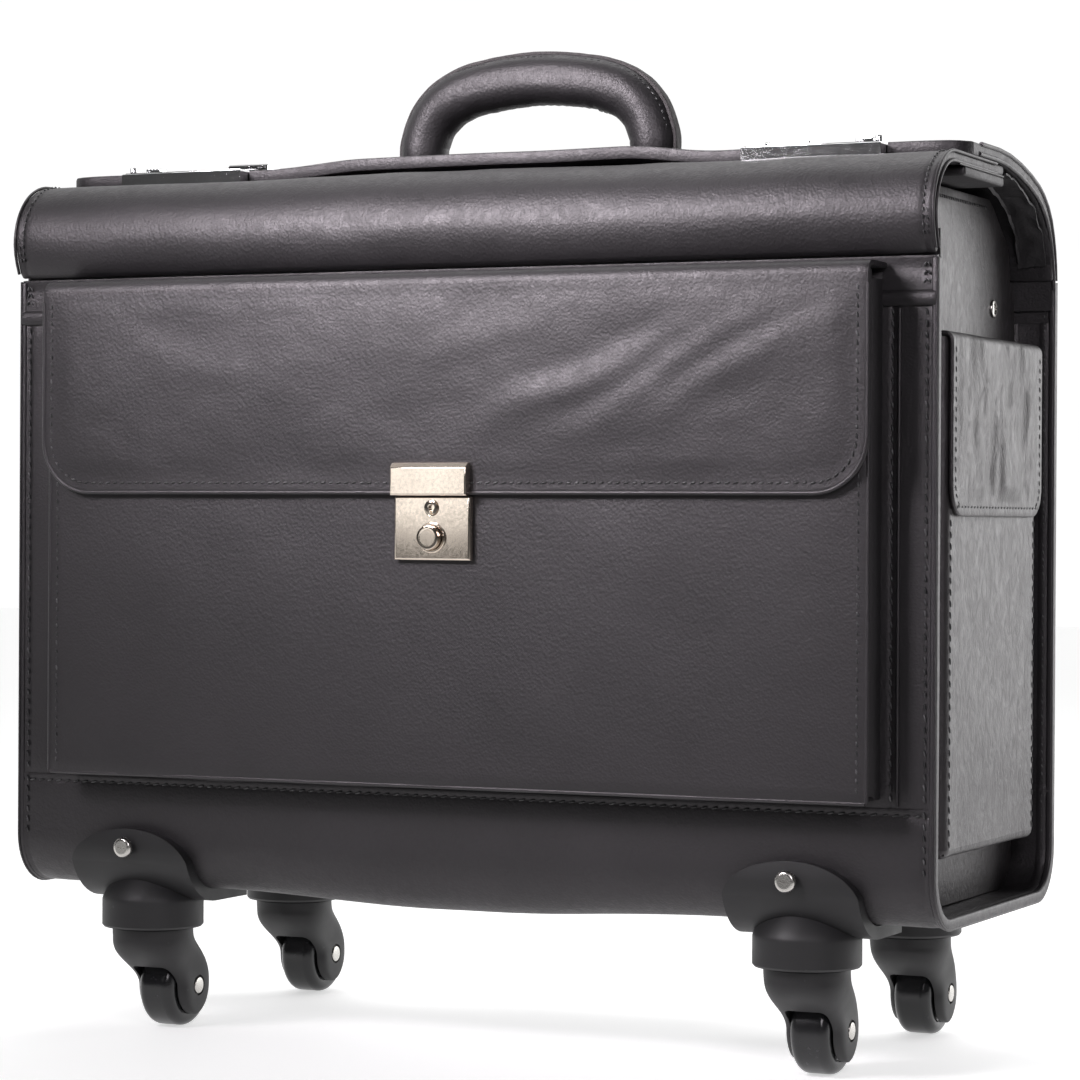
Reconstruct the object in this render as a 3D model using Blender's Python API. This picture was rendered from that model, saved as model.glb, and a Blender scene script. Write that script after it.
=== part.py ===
"""Pilot rolling flight case: a soft-sided box on four swivel casters, with two overlapping top
flaps, a front pocket with a push lock, a pocket on each end, two combination latches, a carry
handle and a two-stage pull handle on the back.

Axes: X along the front, +Y to the back, +Z up, ground at z = 0.  Metres.
All pieces hang on the empty "case", which centres the whole object on x = y = 0.
"""
import math

import bmesh
import bpy
from mathutils import Matrix, Vector

# ---------------------------------------------------------------- driving dimensions
GAP = 0.0003            # clearance between touching pieces
TOOL_REACH = 0.010      # how far a cutter runs past what it cuts
CASE_WIDTH = 0.470
CASE_DEPTH = 0.178
UNDERSIDE_Z = 0.070
CORNER_RADIUS = 0.024   # lower front and back edges
WALL = 0.004            # board with its cover
KICK_TOP_Z = 0.1237     # top seam of the band that wraps the bottom
STRIP_Z = 0.342         # lower edge of the hinge strips
HINGE_Z = 0.364
END_RECESS = 0.020      # end panels sit this far inside the ends
END_TOP_Z = 0.400
END_SWING_DROP = 0.012  # the end panels' shoulders start this far under the hinge line
END_BACK_SHOULDER = ((0.007, 0.0), (0.010, 0.016))      # in from the back, above the hinge line
END_BACK_CROWN = ((0.008, 0.003), (0.014, 0.0))         # in from the rear shoulder, under the top
END_FRONT_CROWN = (0.014, 0.008)                        # in from the front, under the top
END_FRONT_SHOULDER = ((0.004, 0.014), (0.002, 0.0))     # in from the front, above the hinge line

FLAP_TOP_Z = 0.411      # front flap, laid flat
FRONT_FLAP_THICK = 0.0095
FRONT_FLAP_SKIN = 0.004
FRONT_FLAP_BULGE = 0.0065
FRONT_FLAP_END_Y = 0.006
FRONT_FLAP_CURVE = 0.030
FRONT_FLAP_KNEE = (0.0042, 0.0095)  # first bend: out from the front, above the foot
FRONT_FLAP_EDGE = 0.003     # bevel on the free edge
FRONT_FLAP_LIP = 0.004      # the thick part starts this far behind the curve's centre
FRONT_FLAP_FOOT_INSET = 0.001
FRONT_FLAP_FOOT_RISE = 0.006
REAR_FLAP_TOP_Z = 0.4178
REAR_FLAP_SKIN = 0.006
REAR_FLAP_FRONT_Y = -0.050
REAR_SHOULDER_Y = 0.0585
REAR_SHOULDER_Z = 0.407
REAR_FLAP_SETBACK = 0.0015  # its back face, in from the case's back
REAR_FLAP_EDGE = 0.002      # bevel on the free edge
REAR_LEVEL_Y = -0.004       # the top is level in front of this
REAR_SLOPE_Y = 0.026
REAR_SLOPE_DROP = 0.0028    # under the level top, at the middle of the slope
REAR_STEP = 0.008           # the inside drops this far behind the front flap's edge
REAR_SHOULDER_INSET = 0.005
REAR_OUTER_RISE = ((0.004, 0.024), (0.013, 0.036))  # in from its back, above the hinge line
REAR_INNER_RISE = ((0.017, 0.030), (0.009, 0.018))

POCKET_X = 0.003
POCKET_WIDTH = 0.415
POCKET_DEPTH = 0.0215
POCKET_FOOT_Z = 0.1266
POCKET_HEIGHT = 0.2312
POCKET_WALL = 0.002
FLAP_SHEET = 0.003
POCKET_FLAP_DROP = 0.1010
POCKET_FLAP_FOLD = 0.006    # radius where the lid turns down
POCKET_FLAP_CORNER = 0.025
FLAP_OVERHANG = 0.001       # a pocket's flap, past each side of its pocket

LOCK_WIDTH = 0.0387
LOCK_PLATE_HEIGHT = 0.015
LOCK_BODY_HEIGHT = 0.029
LOCK_PLATE_THICK = 0.0045
LOCK_BODY_THICK = 0.0031
LOCK_BUTTON_RADIUS = 0.0055
LOCK_BUTTON_REACH = 0.0048
LOCK_BUTTON_DROP = 0.0188   # below the top of the lock body
LOCK_BUTTON_TRAVEL = 0.002
LOCK_BARREL_RADIUS = 0.0034
LOCK_BARREL_DROP = 0.0052
LOCK_BARREL_PROUD = 0.0006
LOCK_CORNER = 0.001
LOCK_FLOOR = 0.0004         # metal left behind the bores
LOCK_PLATE_DROP = 0.001     # under the flap's lower edge
LOCK_BUTTON_CHAMFER = 0.0005
KEY_SLOT_WIDTH = 0.0008
KEY_SLOT_HEIGHT = 0.004
KEY_SLOT_DEPTH = 0.001
BORE_CLEARANCE = 0.0004

SIDE_POCKET_WIDTH = 0.132
SIDE_POCKET_DEPTH = 0.0165
SIDE_POCKET_FOOT_Z = 0.100
SIDE_POCKET_TOP_Z = 0.330
SIDE_POCKET_WALL = 0.0015
SIDE_SHEET = 0.0022
SIDE_FLAP_DROP = 0.0815
SIDE_FLAP_FOLD = 0.003

LATCH_X = 0.1635        # latch centre, left and right
LATCH_WIDTH = 0.067
LATCH_OVERHANG = 0.008  # in front of the rear flap's edge
LATCH_DEPTH = 0.042
LATCH_HEIGHT = 0.0062
DIAL_RADIUS = 0.0030
DIAL_WIDTH = 0.0045
DIAL_PITCH = 0.0080
DIAL_COUNT = 3
SLIDER_WIDTH = 0.009
DIAL_SETBACK = 0.014    # behind the latch's front
DIAL_LIFT = 0.001       # over the latch's foot
SLIDER_DEPTH = 0.006
SLIDER_HEIGHT = 0.003
SLIDER_X = 0.022        # out from the latch's centre
LEVER_WIDTH = 0.022
LEVER_DEPTH = 0.013
LEVER_HEIGHT = 0.0055
LEVER_INSET = 0.001     # in from the latch's inner end and its back
LEVER_EDGE = 0.002
LEVER_SLOPE = 0.004
KEEPER_WIDTH = 0.012
KEEPER_HEIGHT = 0.0028
KEEPER_DEPTH = 0.0018
KEEPER_SETBACK = 0.0055     # behind the latch's front
KEEPER_SLOT_FRONT = 0.0015  # metal left in front of the keeper's slot
KEEPER_SLOT_BACK = 0.003    # the slot's back, behind the keeper's front
KEEPER_SLOT_SIDE = 0.001
KEEPER_SLOT_TOP = 0.0008

HANDLE_X = 0.002
HANDLE_SPAN = 0.1226    # between the centres of the legs
HANDLE_RADIUS = 0.0118
HANDLE_TOP_Z = 0.4735
HANDLE_BEND = 0.034

CASTER_X = 0.1692
CASTER_Y = 0.0706
BRACKET_THICK = 0.006
BRACKET_HALF_WIDTH = 0.032
BRACKET_SHOULDER_Z = 0.080
BRACKET_TOP_Z = 0.0994
BRACKET_REACH = 0.054   # how far the plate runs under the case
BRACKET_EDGE = 0.002
ARCH_MARGIN = 0.001     # the arched cutter, past each side of the bracket
BORE_ROOF = 0.002       # plastic left over the stem's bore
COLLAR_RADIUS = 0.0245
COLLAR_FOOT_Z = 0.0507
COLLAR_TOP_Z = 0.088    # where the collar runs into the bracket's front
STEM_RADIUS = 0.005
NECK_RADIUS = 0.020
NECK_HEIGHT = 0.008
HOOD_FRONT = ((0.002, 0.002), (0.004, -0.006))  # in from the neck's front, above its foot
HOOD_BACK_Y = 0.0115    # behind the wheel's centre
HOOD_BACK_DROP = 0.004
HOOD_BACK_REACH = 0.003     # behind the neck
HOOD_BITE = 0.002       # how far the hood runs up into the neck
WHEEL_RADIUS = 0.020
WHEEL_WIDTH = 0.0185
CASTER_TRAIL = 0.0204
CHEEK_THICK = 0.0040
CHEEK_RADIUS = 0.0140
WHEEL_CLEARANCE = 0.0015
WHEEL_CHAMFER = 0.0015
AXLE_RADIUS = 0.0028
AXLE_INSET = 0.0005

TROLLEY_SPREAD = 0.120  # between the two tube stacks
TROLLEY_FOOT_Z = 0.078
TROLLEY_CUP_HEIGHT = 0.026
TROLLEY_BLOCK_Z = 0.322
TROLLEY_BLOCK_HEIGHT = 0.022
TROLLEY_DEPTH = 0.0215
TUBE_WIDTH = 0.019      # outer tube, along X
TUBE_DEPTH = 0.014      # outer tube, along Y
TUBE_WALL = 0.001
TUBE_ROUND = 0.002      # outside corners
TUBE_STAGGER = 0.002    # each inner tube starts this much higher
TROLLEY_SIDE = 0.004    # foot and guide, past the outer tubes
SOCKET_FLOOR = 0.003
GRIP_SOCKET = 0.006
GRIP_WIDTH = 0.146
GRIP_HEIGHT = 0.0150
GRIP_BUTTON_WIDTH = 0.030
GRIP_INSET = 0.001
GRIP_ROUND = 0.0075
GRIP_BUTTON_DEPTH = 0.010
GRIP_BUTTON_WELL = 0.008
GRIP_BUTTON_PROUD = 0.001
GRIP_BUTTON_TRAVEL = 0.003

# ---------------------------------------------------------------- sizes that follow
HALF_X = CASE_WIDTH / 2
HALF_Y = CASE_DEPTH / 2
END_X = HALF_X - END_RECESS
FRONT_Y = -HALF_Y
POCKET_BACK_Y = FRONT_Y - GAP
POCKET_FRONT_Y = POCKET_BACK_Y - POCKET_DEPTH
POCKET_TOP_Z = POCKET_FOOT_Z + POCKET_HEIGHT
FLAP_LID_Z = POCKET_TOP_Z + GAP + FLAP_SHEET
FLAP_INNER_Y = POCKET_FRONT_Y - GAP
FLAP_OUTER_Y = FLAP_INNER_Y - FLAP_SHEET
FLAP_FOOT_Z = FLAP_LID_Z - POCKET_FLAP_DROP
LOCK_PLATE_FOOT_Z = FLAP_FOOT_Z - LOCK_PLATE_DROP
LOCK_BODY_TOP_Z = LOCK_PLATE_FOOT_Z - GAP
LOCK_FACE_Y = FLAP_INNER_Y - LOCK_BODY_THICK
BUTTON_FACE_Y = LOCK_FACE_Y - LOCK_BUTTON_REACH
LATCH_FOOT_Z = FLAP_TOP_Z + GAP
LATCH_TOP_Z = LATCH_FOOT_Z + LATCH_HEIGHT
LATCH_FRONT_Y = REAR_FLAP_FRONT_Y - LATCH_OVERHANG
LATCH_BACK_Y = LATCH_FRONT_Y + LATCH_DEPTH
TROLLEY_Y = HALF_Y + GAP + TROLLEY_DEPTH / 2
TUBE_CLEARANCE = GAP
TUBE_STEP = TUBE_WALL + TUBE_CLEARANCE
WHEEL_Z = WHEEL_RADIUS

FRONT_REACH = -BUTTON_FACE_Y
BACK_REACH = max(HALF_Y + GAP + TROLLEY_DEPTH, CASTER_Y + CASTER_TRAIL + WHEEL_RADIUS)
CASE_SHIFT_Y = (FRONT_REACH - BACK_REACH) / 2

SIDES = (("left", -1), ("right", 1))
CORNERS = (
    ("front_left", -1, -1),
    ("front_right", 1, -1),
    ("back_left", -1, 1),
    ("back_right", 1, 1),
)


# ---------------------------------------------------------------- helpers
def clear_scene():
    """Start from an empty scene."""
    for old in list(bpy.data.objects):
        bpy.data.objects.remove(old, do_unlink=True)


def finish(name, colour, roughness, metallic=0.0):
    """A Principled material."""
    material = bpy.data.materials.new(name)
    material.use_nodes = True
    shader = material.node_tree.nodes["Principled BSDF"]
    shader.inputs["Base Color"].default_value = (*colour, 1.0)
    shader.inputs["Roughness"].default_value = roughness
    shader.inputs["Metallic"].default_value = metallic
    return material


def arc(centre, radius, start, end, steps=6):
    """Points on a circle, from start to end in degrees."""
    points = []
    for i in range(steps + 1):
        angle = math.radians(start + (end - start) * i / steps)
        points.append((centre[0] + radius * math.cos(angle), centre[1] + radius * math.sin(angle)))
    return points


def rounded_rectangle(low, high, radius, steps=3):
    """A closed outline, anticlockwise."""
    corners = (
        ((high[0] - radius, high[1] - radius), 0),
        ((low[0] + radius, high[1] - radius), 90),
        ((low[0] + radius, low[1] + radius), 180),
        ((high[0] - radius, low[1] + radius), 270),
    )
    points = []
    for centre, start in corners:
        points += arc(centre, radius, start, start + 90, steps)
    return points


def place(u, v, w, axis):
    """Outline coordinates (u, v) and height w along the axis, as a point."""
    if axis == "X":
        return (w, u, v)
    if axis == "Y":
        return (u, w, v)
    return (u, v, w)


def prism_mesh(name, outline, axis, low, high):
    """An outline pushed along an axis, with closed ends."""
    shape = bmesh.new()
    ring = [shape.verts.new(place(u, v, low, axis)) for u, v in outline]
    face = shape.faces.new(ring)
    grown = bmesh.ops.extrude_face_region(shape, geom=[face])
    moved = [item for item in grown["geom"] if isinstance(item, bmesh.types.BMVert)]
    bmesh.ops.translate(shape, verts=moved, vec=Vector(place(0, 0, high - low, axis)))
    bmesh.ops.recalc_face_normals(shape, faces=shape.faces)
    mesh = bpy.data.meshes.new(name)
    shape.to_mesh(mesh)
    shape.free()
    return mesh


def add(name, mesh, material, origin=(0, 0, 0)):
    """An object hung on the case, with its origin on its own joint or seat."""
    mesh.transform(Matrix.Translation(-Vector(origin)))
    mesh.materials.clear()
    mesh.materials.append(material)
    part = bpy.data.objects.new(name, mesh)
    part.location = origin
    part.parent = case
    bpy.context.scene.collection.objects.link(part)
    return part


def prism(name, outline, axis, low, high, material, origin=(0, 0, 0)):
    """A part made from one outline."""
    return add(name, prism_mesh(name, outline, axis, low, high), material, origin)


def block(name, low, high, material, origin=(0, 0, 0)):
    """A rectangular part between two corners."""
    outline = [(low[0], low[1]), (high[0], low[1]), (high[0], high[1]), (low[0], high[1])]
    return prism(name, outline, "Z", low[2], high[2], material, origin)


def turned_mesh(name, centre, axis, low, high, radius, sides=24, chamfer=0.0):
    """A round bar or disc along an axis, with an optional chamfer at both ends."""
    u, v = centre
    shape = bmesh.new()
    levels = [(low, radius - chamfer)] if chamfer else []
    levels += [(low + chamfer, radius), (high - chamfer, radius)]
    levels += [(high, radius - chamfer)] if chamfer else []
    rings = []
    for height, size in levels:
        ring = []
        for k in range(sides):
            turn = 2 * math.pi * k / sides
            spot = place(u + size * math.cos(turn), v + size * math.sin(turn), height, axis)
            ring.append(shape.verts.new(spot))
        rings.append(ring)
    for below, above in zip(rings, rings[1:]):
        for k in range(sides):
            nxt = (k + 1) % sides
            shape.faces.new((below[k], below[nxt], above[nxt], above[k]))
    shape.faces.new(rings[0])
    shape.faces.new(rings[-1])
    bmesh.ops.recalc_face_normals(shape, faces=shape.faces)
    mesh = bpy.data.meshes.new(name)
    shape.to_mesh(mesh)
    shape.free()
    for polygon in mesh.polygons:
        polygon.use_smooth = True
    mesh.set_sharp_from_angle(angle=math.radians(35))
    return mesh


def tool(mesh, origin=(0, 0, 0)):
    """A hidden shape that a Boolean uses."""
    shape = add("tool", mesh, leather, origin)
    shape.hide_render = True
    shape.display_type = "WIRE"
    return shape


def combine(part, mesh, operation):
    """Cut, join or keep the common part, with a hidden shape."""
    step = part.modifiers.new(operation.lower(), "BOOLEAN")
    step.operation = operation
    step.object = tool(mesh)
    step.solver = "EXACT"


def box_mesh(low, high):
    """A rectangular mesh between two corners."""
    outline = [(low[0], low[1]), (high[0], low[1]), (high[0], high[1]), (low[0], high[1])]
    return prism_mesh("tool", outline, "Z", low[2], high[2])


# ---------------------------------------------------------------- body of the case
def make_base_tray():
    """The band that wraps the bottom: front wall, two round edges, floor and back wall."""
    centre_y = HALF_Y - CORNER_RADIUS
    centre_z = UNDERSIDE_Z + CORNER_RADIUS
    inner = CORNER_RADIUS - WALL
    outline = [(-HALF_Y, KICK_TOP_Z)]
    outline += arc((-centre_y, centre_z), CORNER_RADIUS, 180, 270, 5)
    outline += arc((centre_y, centre_z), CORNER_RADIUS, 270, 360, 5)
    outline += [(HALF_Y, KICK_TOP_Z), (HALF_Y - WALL, KICK_TOP_Z)]
    outline += arc((centre_y, centre_z), inner, 360, 270, 5)
    outline += arc((-centre_y, centre_z), inner, 270, 180, 5)
    outline += [(-HALF_Y + WALL, KICK_TOP_Z)]
    prism("base_tray", outline, "X", -HALF_X, HALF_X, leather)


def make_walls():
    """Front and back panels, and the strips above them that the flaps hinge on."""
    for word, side in (("front", -1), ("back", 1)):
        near, far = sorted((side * HALF_Y, side * (HALF_Y - WALL)))
        block(
            f"{word}_panel",
            (-HALF_X, near, KICK_TOP_Z + GAP),
            (HALF_X, far, STRIP_Z - GAP),
            leather,
        )
        block(
            f"{word}_hinge_strip",
            (-HALF_X, near, STRIP_Z),
            (HALF_X, far, HINGE_Z - GAP),
            leather,
        )


def make_end_panels():
    """The two ends, with shoulders that stay inside the flaps and the swing of their hinges."""
    reach = HALF_Y - WALL - GAP
    floor = UNDERSIDE_Z + WALL + GAP
    corner = CORNER_RADIUS - WALL - GAP
    swing = HINGE_Z - END_SWING_DROP
    outline = arc((-reach + corner, floor + corner), corner, 180, 270, 4)
    outline += arc((reach - corner, floor + corner), corner, 270, 360, 4)
    outline += [(reach, swing)]
    outline += [(reach - inset, HINGE_Z + rise) for inset, rise in END_BACK_SHOULDER]
    outline += [(REAR_SHOULDER_Y - inset, END_TOP_Z - drop) for inset, drop in END_BACK_CROWN]
    outline += [(-reach + FRONT_FLAP_CURVE, END_TOP_Z)]
    outline += [(-reach + END_FRONT_CROWN[0], END_TOP_Z - END_FRONT_CROWN[1])]
    outline += [(-reach + inset, HINGE_Z + rise) for inset, rise in END_FRONT_SHOULDER]
    outline += [(-reach, swing)]
    for word, side in SIDES:
        low, high = sorted((side * END_X, side * (END_X - WALL)))
        prism(f"end_panel_{word}", outline, "X", low, high, leather)


def make_front_flap():
    """Rises from the front hinge, bulges, curves over and lies flat under the rear flap."""
    hinge = (0, FRONT_Y, HINGE_Z)
    bulge = FRONT_Y - FRONT_FLAP_BULGE
    foot = HINGE_Z + GAP
    centre = (bulge + FRONT_FLAP_CURVE, FLAP_TOP_Z - FRONT_FLAP_CURVE)
    under = FLAP_TOP_Z - FRONT_FLAP_THICK
    end = FRONT_FLAP_END_Y
    edge = FRONT_FLAP_EDGE
    inner = FRONT_Y + WALL - FRONT_FLAP_FOOT_INSET
    outline = [(FRONT_Y, foot), (FRONT_Y - FRONT_FLAP_KNEE[0], foot + FRONT_FLAP_KNEE[1])]
    outline += arc(centre, FRONT_FLAP_CURVE, 180, 90, 6)
    outline += [(end - edge, FLAP_TOP_Z), (end, FLAP_TOP_Z - edge)]
    outline += [(end, under + edge), (end - edge, under)]
    outline += [(centre[0] + FRONT_FLAP_LIP, under)]
    outline += arc(centre, FRONT_FLAP_CURVE - FRONT_FLAP_SKIN, 125, 180, 3)
    outline += [(inner, foot + FRONT_FLAP_FOOT_RISE), (inner, foot)]
    prism("front_flap", outline, "X", -HALF_X, HALF_X, leather, hinge)


def make_rear_flap():
    """Rises from the back hinge, slopes over the top and overlaps the front flap."""
    hinge = (0, HALF_Y, HINGE_Z)
    foot = HINGE_Z + GAP
    outer = HALF_Y - REAR_FLAP_SETBACK
    front = REAR_FLAP_FRONT_Y
    top = REAR_FLAP_TOP_Z
    under = FLAP_TOP_Z + GAP
    skin = REAR_FLAP_SKIN
    edge = REAR_FLAP_EDGE
    outline = [(outer, foot)]
    outline += [(outer - inset, HINGE_Z + rise) for inset, rise in REAR_OUTER_RISE]
    outline += [(REAR_SHOULDER_Y, REAR_SHOULDER_Z), (REAR_SLOPE_Y, top - REAR_SLOPE_DROP)]
    outline += [(REAR_LEVEL_Y, top), (front + edge, top), (front, top - edge), (front, under)]
    outline += [(FRONT_FLAP_END_Y + REAR_STEP, under)]
    outline += [(REAR_SHOULDER_Y - REAR_SHOULDER_INSET, REAR_SHOULDER_Z - skin)]
    outline += [(outer - inset, HINGE_Z + rise) for inset, rise in REAR_INNER_RISE]
    outline += [(outer - skin, foot)]
    part = prism("rear_flap", outline, "X", -HALF_X, HALF_X, leather, hinge)
    for word, side in SIDES:
        reach = LATCH_WIDTH / 2 + GAP
        low = (side * LATCH_X - reach, front - TOOL_REACH, under - TOOL_REACH)
        high = (side * LATCH_X + reach, LATCH_BACK_Y + GAP, top + TOOL_REACH)
        combine(part, box_mesh(low, high), "DIFFERENCE")


# ---------------------------------------------------------------- pockets
def make_front_pocket():
    """An open-topped pocket on the front panel."""
    half = POCKET_WIDTH / 2
    part = block(
        "front_pocket",
        (POCKET_X - half, POCKET_FRONT_Y, POCKET_FOOT_Z),
        (POCKET_X + half, POCKET_BACK_Y, POCKET_TOP_Z),
        leather,
    )
    wall = POCKET_WALL
    low = (POCKET_X - half + wall, POCKET_FRONT_Y + wall, POCKET_FOOT_Z + wall)
    high = (POCKET_X + half - wall, POCKET_BACK_Y - wall, POCKET_TOP_Z + TOOL_REACH)
    combine(part, box_mesh(low, high), "DIFFERENCE")


def make_front_pocket_flap():
    """A lid leaf and a front leaf in one piece, hinged where it meets the front panel."""
    half = POCKET_WIDTH / 2 + FLAP_OVERHANG
    fold = POCKET_FLAP_FOLD
    corner = POCKET_FLAP_CORNER
    outline = [(POCKET_BACK_Y, POCKET_TOP_Z + GAP), (POCKET_BACK_Y, FLAP_LID_Z)]
    outline += arc((FLAP_OUTER_Y + fold, FLAP_LID_Z - fold), fold, 90, 180, 4)
    outline += [(FLAP_OUTER_Y, FLAP_FOOT_Z), (FLAP_INNER_Y, FLAP_FOOT_Z)]
    outline += [(FLAP_INNER_Y, POCKET_TOP_Z + GAP)]
    hinge = (POCKET_X, POCKET_BACK_Y, FLAP_LID_Z)
    name = "front_pocket_flap"
    part = prism(name, outline, "X", POCKET_X - half, POCKET_X + half, leather, hinge)
    left, right = POCKET_X - half, POCKET_X + half
    top, foot = FLAP_LID_Z + TOOL_REACH, FLAP_FOOT_Z - TOOL_REACH
    frame = [(left - TOOL_REACH, top), (left, top)]
    frame += arc((left + corner, FLAP_FOOT_Z + corner), corner, 180, 270, 5)
    frame += arc((right - corner, FLAP_FOOT_Z + corner), corner, 270, 360, 5)
    frame += [(right, top), (right + TOOL_REACH, top)]
    frame += [(right + TOOL_REACH, foot), (left - TOOL_REACH, foot)]
    low, high = FLAP_OUTER_Y - TOOL_REACH, POCKET_BACK_Y + TOOL_REACH
    cutter = prism_mesh("tool", frame, "Y", low, high)
    combine(part, cutter, "DIFFERENCE")


def make_push_lock():
    """Strike plate on the flap; body, push button and key barrel on the pocket."""
    half = LOCK_WIDTH / 2
    outline = rounded_rectangle(
        (POCKET_X - half, LOCK_PLATE_FOOT_Z),
        (POCKET_X + half, LOCK_PLATE_FOOT_Z + LOCK_PLATE_HEIGHT),
        LOCK_CORNER,
        2,
    )
    outer = FLAP_OUTER_Y - GAP
    prism("lock_strike_plate", outline, "Y", outer - LOCK_PLATE_THICK, outer, nickel)
    foot = LOCK_BODY_TOP_Z - LOCK_BODY_HEIGHT
    outline = rounded_rectangle(
        (POCKET_X - half, foot), (POCKET_X + half, LOCK_BODY_TOP_Z), LOCK_CORNER, 2
    )
    body = prism("lock_body", outline, "Y", LOCK_FACE_Y, FLAP_INNER_Y, nickel)
    floor = FLAP_INNER_Y - LOCK_FLOOR
    button_at = (POCKET_X, LOCK_BODY_TOP_Z - LOCK_BUTTON_DROP)
    barrel_at = (POCKET_X, LOCK_BODY_TOP_Z - LOCK_BARREL_DROP)
    for centre, radius in ((button_at, LOCK_BUTTON_RADIUS), (barrel_at, LOCK_BARREL_RADIUS)):
        bore = turned_mesh(
            "tool", centre, "Y", LOCK_FACE_Y - TOOL_REACH, floor, radius + BORE_CLEARANCE, 20
        )
        combine(body, bore, "DIFFERENCE")
    back = floor - LOCK_BUTTON_TRAVEL - GAP
    button = turned_mesh(
        "lock_button",
        button_at,
        "Y",
        BUTTON_FACE_Y,
        back,
        LOCK_BUTTON_RADIUS,
        20,
        LOCK_BUTTON_CHAMFER,
    )
    add("lock_button", button, nickel, (button_at[0], LOCK_FACE_Y, button_at[1]))
    face = LOCK_FACE_Y - LOCK_BARREL_PROUD
    barrel = turned_mesh(
        "lock_key_barrel", barrel_at, "Y", face, floor - GAP, LOCK_BARREL_RADIUS, 20
    )
    part = add("lock_key_barrel", barrel, nickel, (barrel_at[0], LOCK_FACE_Y, barrel_at[1]))
    wide, tall = KEY_SLOT_WIDTH / 2, KEY_SLOT_HEIGHT / 2
    slot = box_mesh(
        (barrel_at[0] - wide, LOCK_FACE_Y - TOOL_REACH, barrel_at[1] - tall),
        (barrel_at[0] + wide, LOCK_FACE_Y + KEY_SLOT_DEPTH, barrel_at[1] + tall),
    )
    combine(part, slot, "DIFFERENCE")


def make_side_pockets():
    """A slim open-topped pocket on each end panel, with its own flap."""
    half = SIDE_POCKET_WIDTH / 2
    wall = SIDE_POCKET_WALL
    for word, side in SIDES:
        inner = END_X + GAP
        outer = inner + SIDE_POCKET_DEPTH
        low, high = sorted((side * inner, side * outer))
        part = block(
            f"side_pocket_{word}",
            (low, -half, SIDE_POCKET_FOOT_Z),
            (high, half, SIDE_POCKET_TOP_Z),
            leather,
        )
        hollow = box_mesh(
            (low + wall, -half + wall, SIDE_POCKET_FOOT_Z + wall),
            (high - wall, half - wall, SIDE_POCKET_TOP_Z + TOOL_REACH),
        )
        combine(part, hollow, "DIFFERENCE")
        top = SIDE_POCKET_TOP_Z + GAP + SIDE_SHEET
        skin = outer + GAP
        face = skin + SIDE_SHEET
        outline = [
            (side * inner, SIDE_POCKET_TOP_Z + GAP),
            (side * inner, top),
            (side * (face - SIDE_FLAP_FOLD), top),
            (side * face, top - SIDE_FLAP_FOLD),
            (side * face, top - SIDE_FLAP_DROP),
            (side * skin, top - SIDE_FLAP_DROP),
            (side * skin, SIDE_POCKET_TOP_Z + GAP),
        ]
        name = f"side_pocket_flap_{word}"
        reach = half + FLAP_OVERHANG
        prism(name, outline, "Y", -reach, reach, leather, (side * inner, 0, top))


# ---------------------------------------------------------------- handle and latches
def make_carry_handle():
    """A padded bar bent into an arch, standing on the rear flap."""
    half = HANDLE_SPAN / 2
    foot = REAR_FLAP_TOP_Z + GAP
    centre_z = HANDLE_TOP_Z - HANDLE_RADIUS - HANDLE_BEND
    path = [(-half, foot), (-half, (foot + centre_z) / 2)]
    path += arc((-half + HANDLE_BEND, centre_z), HANDLE_BEND, 180, 90, 7)
    path += arc((half - HANDLE_BEND, centre_z), HANDLE_BEND, 90, 0, 7)
    path += [(half, (foot + centre_z) / 2), (half, foot)]
    line = bpy.data.curves.new("carry_handle", "CURVE")
    line.dimensions = "3D"
    line.bevel_depth = HANDLE_RADIUS
    line.bevel_resolution = 3
    line.use_fill_caps = True
    spline = line.splines.new("POLY")
    spline.points.add(len(path) - 1)
    for point, (x, z) in zip(spline.points, path):
        point.co = (x, 0, z - foot, 1)
    line.materials.append(leather)
    part = bpy.data.objects.new("carry_handle", line)
    part.location = (HANDLE_X, 0, foot)
    part.parent = case
    bpy.context.scene.collection.objects.link(part)


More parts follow.
